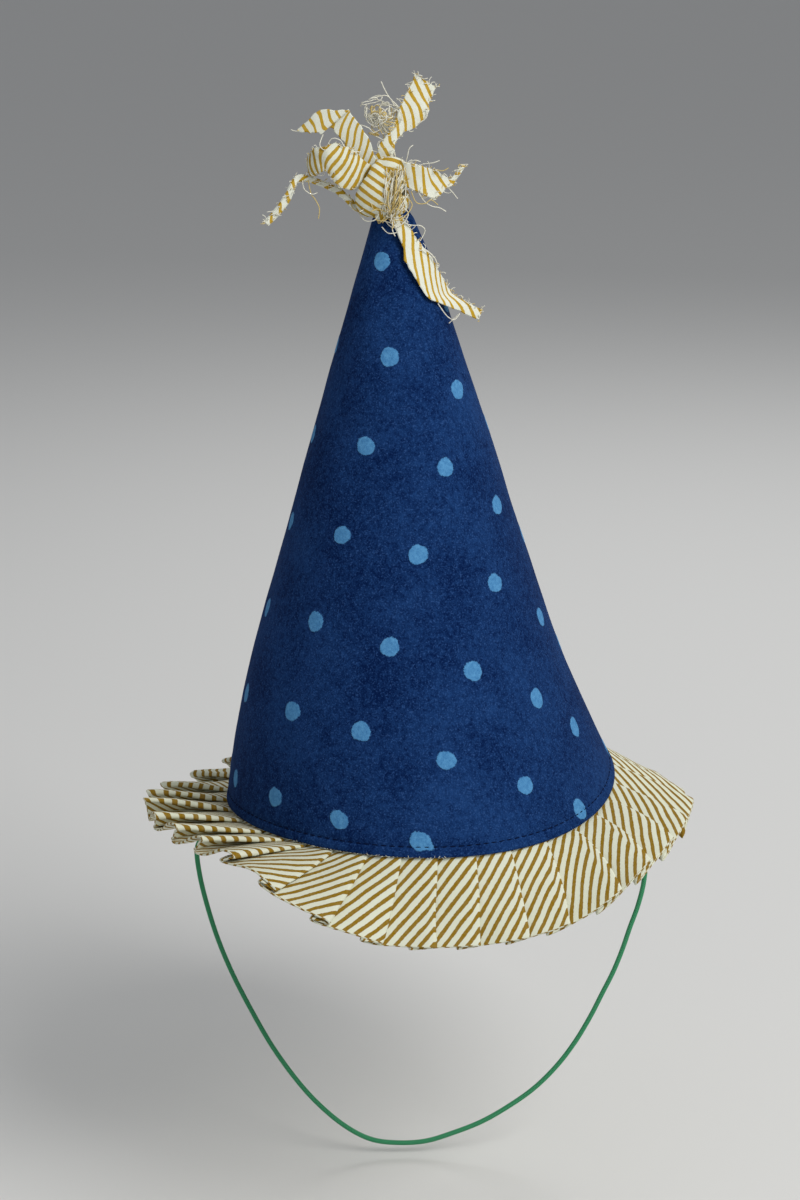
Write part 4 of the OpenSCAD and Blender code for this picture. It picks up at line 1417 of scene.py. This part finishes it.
@dataclass
class TornTopper:
    """The strips torn from the ruffle's cloth, knotted round the cone's tip."""

    top: float = 185.0
    thread: float = 0.12
    loose_thread: float = 0.16
    knot: tuple[float, float, float] = (-4.6, -4.0, 191.0)

    def ribbon(self, plan: StripPlan) -> tuple[np.ndarray, np.ndarray, np.ndarray]:
        """Lay a band of cloth out between its two edges.

        Args:
            plan: The band.

        Returns:
            Its middle surface, its normals and its cloth places in metres, turned so that the
            stripes run along the second of them.
        """
        path = smooth_path(np.array(plan.stations), 6)
        spots = (path[:, :3] + path[:, 3:]) / 2 + [0, 0, self.top]
        span = (path[:, 3:] - path[:, :3]) * plan.narrow
        width = np.linalg.norm(span, axis=1)
        side = unit(span)
        go = unit(np.gradient(spots, axis=0))
        face = unit(np.cross(side, go))
        steps = np.linalg.norm(np.diff(spots, axis=0), axis=1)
        long = np.concatenate([[0], np.cumsum(steps)])
        rng = np.random.default_rng(plan.seed)
        edge = np.convolve(rng.normal(0, 0.30, len(path) + 4), [0.25, 0.5, 0.25], "same")[2:-2]
        other = np.convolve(rng.normal(0, 0.30, len(path) + 4), [0.25, 0.5, 0.25], "same")[2:-2]
        g = np.linspace(-1, 1, 11)
        ragged = np.where(g > 0, edge[:, None], other[:, None]) * np.clip(width / 5, 0, 1)[:, None]
        across = (width / 2)[:, None] * g + ragged * g
        bow = plan.cup * width[:, None] * (1 - g**2) * ease(0, 8, long)[:, None]
        middle = spots[:, None] + side[:, None] * across[..., None] + face[:, None] * bow[..., None]
        wrinkle = plan.crumple * (0.7 * ripple(middle, 11, plan.seed + 40) + 0.3 * ripple(middle, 5, plan.seed + 60))
        middle = middle + face[:, None] * (wrinkle * ease(0, 5, long)[:, None])[..., None]
        normal = unit(np.cross(np.gradient(middle, axis=1), np.gradient(middle, axis=0)))
        slant = np.radians(np.interp(long, np.linspace(0, long[-1], len(plan.slants)), plan.slants))
        scale = np.interp(long, np.linspace(0, long[-1], len(plan.spacing)), plan.spacing)
        laid, mean_slant = steps / scale[1:], (slant[1:] + slant[:-1]) / 2
        drift = np.concatenate([[0], np.cumsum(laid * np.sin(mean_slant))])
        run = np.concatenate([[0], np.cumsum(laid * np.cos(mean_slant))])
        lag = np.sum(side * go, axis=1)
        wide = across * np.sqrt(1 - lag**2)[:, None] / scale[:, None]
        ahead = across * lag[:, None] / scale[:, None]
        sine, cosine = np.sin(slant)[:, None], np.cos(slant)[:, None]
        cloth = np.stack(
            [
                wide * cosine - ahead * sine - drift[:, None] + plan.seed * 1.7,
                wide * sine + ahead * cosine + run[:, None] + plan.seed * 40,
            ],
            axis=-1,
        )
        return middle, normal, cloth * MM

    def build(self, finishes: Finishes) -> None:
        """Make the strips, the knot, the fray and the loose threads.

        Args:
            finishes: The hat's finishes.
        """
        edges = []
        for plan in STRIPS:
            middle, normal, cloth = self.ribbon(plan)
            draft = Draft()
            thin_body(draft, middle, normal, np.full(middle.shape[:2], plan.thickness), cloth, 1)
            finish = finishes.torn_bold if plan.share > 0.4 else finishes.torn
            seat(draft.build(plan.node + "_torn", finish, crease_deg=40), "torn_cotton", plan.node)
            edges.extend([middle[10:, side] for side, torn in zip((0, -1), plan.frayed) if torn])
            edges.append(middle[-1])
        self.build_knot(finishes)
        self.build_fray(finishes, edges)

    def build_knot(self, finishes: Finishes) -> None:
        """Wrap the knot: a soft core with bands of cloth about it.

        Args:
            finishes: The hat's finishes.
        """
        draft = Draft()
        for plan in KNOT_BANDS:
            middle, normal, cloth = self.ribbon(plan)
            thin_body(draft, middle, normal, np.full(middle.shape[:2], plan.thickness), cloth, 1)
        rows, cols = 16, 28
        up = np.linspace(-80, 80, rows)[:, None] * math.pi / 180
        turn = (np.arange(cols) * FULL_TURN / cols)[None, :]
        ball = np.stack([5.4 * np.cos(up) * np.cos(turn), 4 * np.cos(up) * np.sin(turn), 6 * np.sin(up) + 0 * turn], -1)
        ball = ball * (1 + 0.06 * ripple(ball, 6, 9))[..., None] + np.array(self.knot)
        wound = np.stack(
            [
                -7 * up + np.linspace(0, 12.6, cols + 1),
                np.broadcast_to(np.linspace(0, 34, cols + 1), (rows, cols + 1)),
            ],
            axis=-1,
        )
        draft.add_capped_grid(ball, wound * MM)
        seat(draft.build("knot_wrapped", finishes.torn_bold, crease_deg=50), "torn_cotton", "top_knot")

    def curl(self, start: np.ndarray, way: np.ndarray, length: float, seed: int, loose: float = 1.0) -> np.ndarray:
        """Let a thread wander from a start.

        Args:
            start: Where it leaves the cloth.
            way: The way that it first goes.
            length: Its length.
            seed: Fixes its wandering.
            loose: How strongly it curls.

        Returns:
            Points along the thread.
        """
        rng = np.random.default_rng(seed)
        step = 0.7
        spin = rng.normal(0, 1, 3)
        spots, go = [np.array(start, float)], unit(np.array(way, float))
        for _ in range(int(length / step)):
            spin = spin * 0.93 + rng.normal(0, 0.34, 3)
            go = unit(go + np.cross(spin, go) * 0.16 * loose + [0, 0, -0.02])
            spots.append(spots[-1] + go * step)
        return np.array(spots)

    def build_fray(self, finishes: Finishes, edges: list[np.ndarray]) -> None:
        """Fray the torn edges and add the loose threads, the tangled ball and the knot's tuft.

        Args:
            finishes: The hat's finishes.
            edges: The torn edges, as lists of places.
        """
        for name, finish, spacing, length, seed in (
            ("fray_pale", finishes.fray, 0.7, 2.5, 3),
            ("fray_dyed", finishes.fray_dyed, 1.7, 2.0, 8),
        ):
            piece = fray_recipe(finish, spacing * MM, length * MM, self.thread * MM, seed).run(name, edges)
            seat(piece, "torn_cotton")
        lift = np.array([0, 0, self.top])
        loose = [smooth_path(np.array(route, float), 5) + lift for route in LOOSE_THREADS]
        rng = np.random.default_rng(90)
        middle = np.array([-4.9, -0.5, self.top + 27.6])
        ball = []
        for k in range(24):
            path = self.curl(middle + rng.normal(0, 2.2, 3), unit(rng.normal(size=3)), 30, 91 + k, 1.7)
            away = path - middle
            far = np.linalg.norm(away, axis=1, keepdims=True)
            ball.append(middle + away / np.maximum(far, 1e-6) * 7 * np.tanh(far / 7) * [1.12, 0.7, 0.92])
        for k in range(5):
            low = np.array([0.6 - 0.5 * k, -2.2, self.top + 13 + 0.6 * k])
            high = middle + [2.6 - 0.9 * k, 0, -1.8]
            bends = [low + (high - low) * t + rng.normal(0, 0.8, 3) for t in (0.3, 0.6, 0.85)]
            ball.append(smooth_path(np.array([low, *bends, high]), 5))
        pale, dyed = [*loose[::2], *loose[1::4], *ball[::2], *ball[1::4]], [*loose[3::4], *ball[3::4]]
        self.spin(finishes, "loose_threads", pale, dyed)
        self.build_tuft(finishes)

    def spin(self, finishes: Finishes, name: str, pale: list[np.ndarray], dyed: list[np.ndarray]) -> None:
        """Make two pieces of loose thread, cream and mustard.

        Args:
            finishes: The hat's finishes.
            name: The cream piece's name.
            pale: Lines of the cream threads.
            dyed: Lines of the mustard threads.
        """
        for label, finish, lines in ((name, finishes.fray, pale), (name + "_dyed", finishes.fray_dyed, dyed)):
            seat(yarn_recipe(finish, self.loose_thread * MM).run(label, lines), "torn_cotton")

    def build_tuft(self, finishes: Finishes) -> None:
        """Let the threads of a frayed end stand over the knot's right side.

        Args:
            finishes: The hat's finishes.
        """
        rng = np.random.default_rng(33)
        lines = []
        for k in range(150):
            aside, ahead, lift = rng.normal(0, 1.0), rng.normal(0, 0.5), rng.uniform(-1, 3.5)
            low = np.array([-1.6 + aside, -8.6 + ahead, self.top - 1.5 + lift])
            high = low + [rng.normal(2.0, 1.3), rng.normal(0, 0.6), rng.uniform(6, 12.5)]
            bend = (low + high) / 2 + rng.normal(0, 0.8, 3) + [0, -0.8, 0]
            lines.append(smooth_path(np.array([low, bend, high]), 5))
        for k in range(26):
            low = np.array([-2 + rng.normal(0, 1.6), -8.8 + rng.normal(0, 0.4), self.top - 1 + rng.uniform(-1, 2)])
            way = (rng.normal(0.5, 1), -0.6, rng.normal(-0.2, 0.8))
            lines.append(self.curl(low, way, rng.uniform(4, 9), 140 + k, 1.8))
        self.spin(finishes, "knot_tuft", lines[::2], lines[1::2])


@dataclass
class ChinCord:
    """The round elastic, tacked inside the hem at both ends."""

    diameter: float = 1.6
    route: tuple[tuple[float, float, float], ...] = (
        (-60.6, 0, 1), (-61, 0, -2), (-64, 0, -7), (-68, 0, -13), (-70.5, 0, -21), (-70, 0, -31),
        (-67.7, 0, -43), (-64.5, 0, -55), (-60, 0, -67.5), (-54, 0, -81), (-48, 0, -93),
        (-40.5, 0, -105), (-33, 0, -114.5), (-24.5, 0, -122.5), (-16, 0, -127.5), (-7, 0, -129),
        (2.5, 0, -128.5), (12, 0, -125.5), (21.5, 0, -121.5), (30.5, 0, -116), (39, 0, -109.5),
        (46.5, 0, -101.5), (52.5, 0, -93), (57.5, 0, -84), (61.5, 0, -75.5), (65, 0, -68),
        (68, 0, -60), (70.5, 0, -52), (73, 0, -44.5), (74.8, 0, -36.5), (75.3, 0, -28),
        (73.5, 0, -19.5), (69, 0, -12), (64, 0, -7), (61, 0, -2), (60.6, 0, 1),
    )

    def centreline(self) -> np.ndarray:
        """The cord's middle line, with its ends moved with the hem."""
        path = smooth_path(np.array(self.route, float), 8)
        held = 1 - ease(2, 24, -path[:, 2])
        return path + (LEAN.place(path) - path) * held[:, None]

    def build(self, finishes: Finishes) -> None:
        """Make the cord.

        Args:
            finishes: The hat's finishes.
        """
        path = self.centreline()
        go = unit(np.gradient(path, axis=0))
        flat = np.array([0.0, 1.0, 0.0])
        out = unit(np.cross(go, flat))
        cols = 14
        turn = np.arange(cols) * FULL_TURN / cols
        ring = out[:, None] * np.cos(turn)[None, :, None] + flat * np.sin(turn)[None, :, None]
        long = np.concatenate([[0], np.cumsum(np.linalg.norm(np.diff(path, axis=0), axis=1))])
        body = path[:, None] + ring * self.diameter / 2
        uv = np.stack(np.broadcast_arrays((np.arange(cols + 1) / cols)[None, :], long[:, None] * MM), axis=-1)
        draft = Draft()
        draft.add_capped_grid(body, uv, (path[0], path[-1]))
        cord = seat(draft.build("chin_cord_elastic", finishes.elastic, lean=False), "green_elastic", "chin_cord")
        log.info("chin cord: %.1f mm long", long[-1])


@dataclass
class CordTacks:
    """The bars of stitches that hold the elastic's ends inside the hem."""

    width: float = 5.0
    height: float = 4.0
    depth: float = 2.6
    rise: float = 1.0
    strands: int = 8
    cone: ClothCone = field(default_factory=ClothCone)

    def build(self, finishes: Finishes) -> None:
        """Wind the thread of both tacks as one piece.

        Args:
            finishes: The hat's finishes.
        """
        lines = []
        for way in (-1, 1):
            for k in range(self.strands):
                z = self.rise + self.height * (k + 0.5) / self.strands
                inner = self.cone.hem_radius - z * self.cone.slope - self.cone.cloth - 0.1
                along = np.linspace(-1, 1, 13)
                out = way * (inner - self.depth * np.sqrt(1 - 0.98 * along**2))
                lines.append(np.stack([out, along * self.width / 2, z + 0.15 * along], axis=-1))
        recipe = yarn_recipe(finishes.stitch, self.height / self.strands * 0.56 * MM)
        seat(recipe.run("tacks_sewn", lines), "navy_thread", "cord_tacks")


class Studio:
    """Camera, pale floor and soft light."""

    focal = 2627.9
    photo_height = 1200
    sensor = 36.0
    floor = -0.1335
    reach = 12.0
    corners = ((-1, -1), (1, -1), (1, 1), (-1, 1))

    def camera(self) -> None:
        """Set the camera that was fitted to the photo."""
        right = Vector((0.999879, -0.000466, -0.015573))
        up = Vector((0.015095, 0.276189, 0.960985))
        ahead = Vector((-0.003853, 0.961103, -0.276162))
        data = bpy.data.cameras.new("camera")
        data.sensor_fit = "VERTICAL"
        data.sensor_height = self.sensor
        data.lens = self.focal * self.sensor / self.photo_height
        data.clip_start, data.clip_end = 0.05, 20
        camera = bpy.data.objects.new("camera", data)
        frame = Matrix((right, up, -ahead)).transposed().to_4x4()
        frame.translation = Vector((0, -0.79887, 0.29036))
        camera.matrix_world = frame
        bpy.context.scene.collection.objects.link(camera)
        bpy.context.scene.camera = camera

    def lamp(self, name: str, place: tuple, aim: tuple, size: float, power: float, tint: tuple = (1, 1, 1)) -> None:
        """Hang one soft square lamp that looks at a point."""
        data = bpy.data.lights.new(name, "AREA")
        data.size, data.energy, data.color = size, power, tint
        lamp = bpy.data.objects.new(name, data)
        lamp.location = place
        lamp.rotation_mode = "QUATERNION"
        lamp.rotation_quaternion = (Vector(aim) - Vector(place)).to_track_quat("-Z", "Y")
        bpy.context.scene.collection.objects.link(lamp)

    def build(self) -> None:
        """Set the world, the lamps and the flat pale floor, open to view from every side."""
        scene = bpy.context.scene
        scene.view_settings.view_transform = "Standard"
        world = bpy.data.worlds.new("world")
        scene.world = world
        world.use_nodes = True
        world.node_tree.nodes["Background"].inputs[0].default_value = (0.86, 0.88, 0.92, 1)
        world.node_tree.nodes["Background"].inputs[1].default_value = 0.36
        aim = (0.0, 0.0, 0.06)
        self.lamp("key", (0.75, -0.75, 0.95), aim, 0.7, 15.5, (1, 0.985, 0.96))
        self.lamp("fill", (-0.9, -0.7, 0.35), aim, 0.9, 1.1, (0.93, 0.96, 1))
        self.lamp("rim", (0.3, 0.95, 0.9), aim, 0.6, 5.0)
        paint = Paint("studio_paper")
        backdrop = paint.finish(colour(214, 214, 212), Surface.PAPER, 0.0, (1, 1, 1, 1))
        mesh = bpy.data.meshes.new("studio_floor")
        mesh.from_pydata([(x * self.reach, y * self.reach, self.floor) for x, y in self.corners], [], [(0, 1, 2, 3)])
        mesh.materials.append(backdrop)
        floor = bpy.data.objects.new("studio_floor", mesh)
        scene.collection.objects.link(floor)


def main() -> None:
    """Build the hat round the loaded frame."""
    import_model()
    studio = Studio()
    studio.camera()
    finishes = Finishes()
    ChinCord().build(finishes)
    cone = ClothCone()
    cone.build(finishes)
    PleatedRuffle(cone=cone).build(finishes)
    TornTopper().build(finishes)
    CordTacks(cone=cone).build(finishes)
    studio.build()


if __name__ == "__main__":
    main()
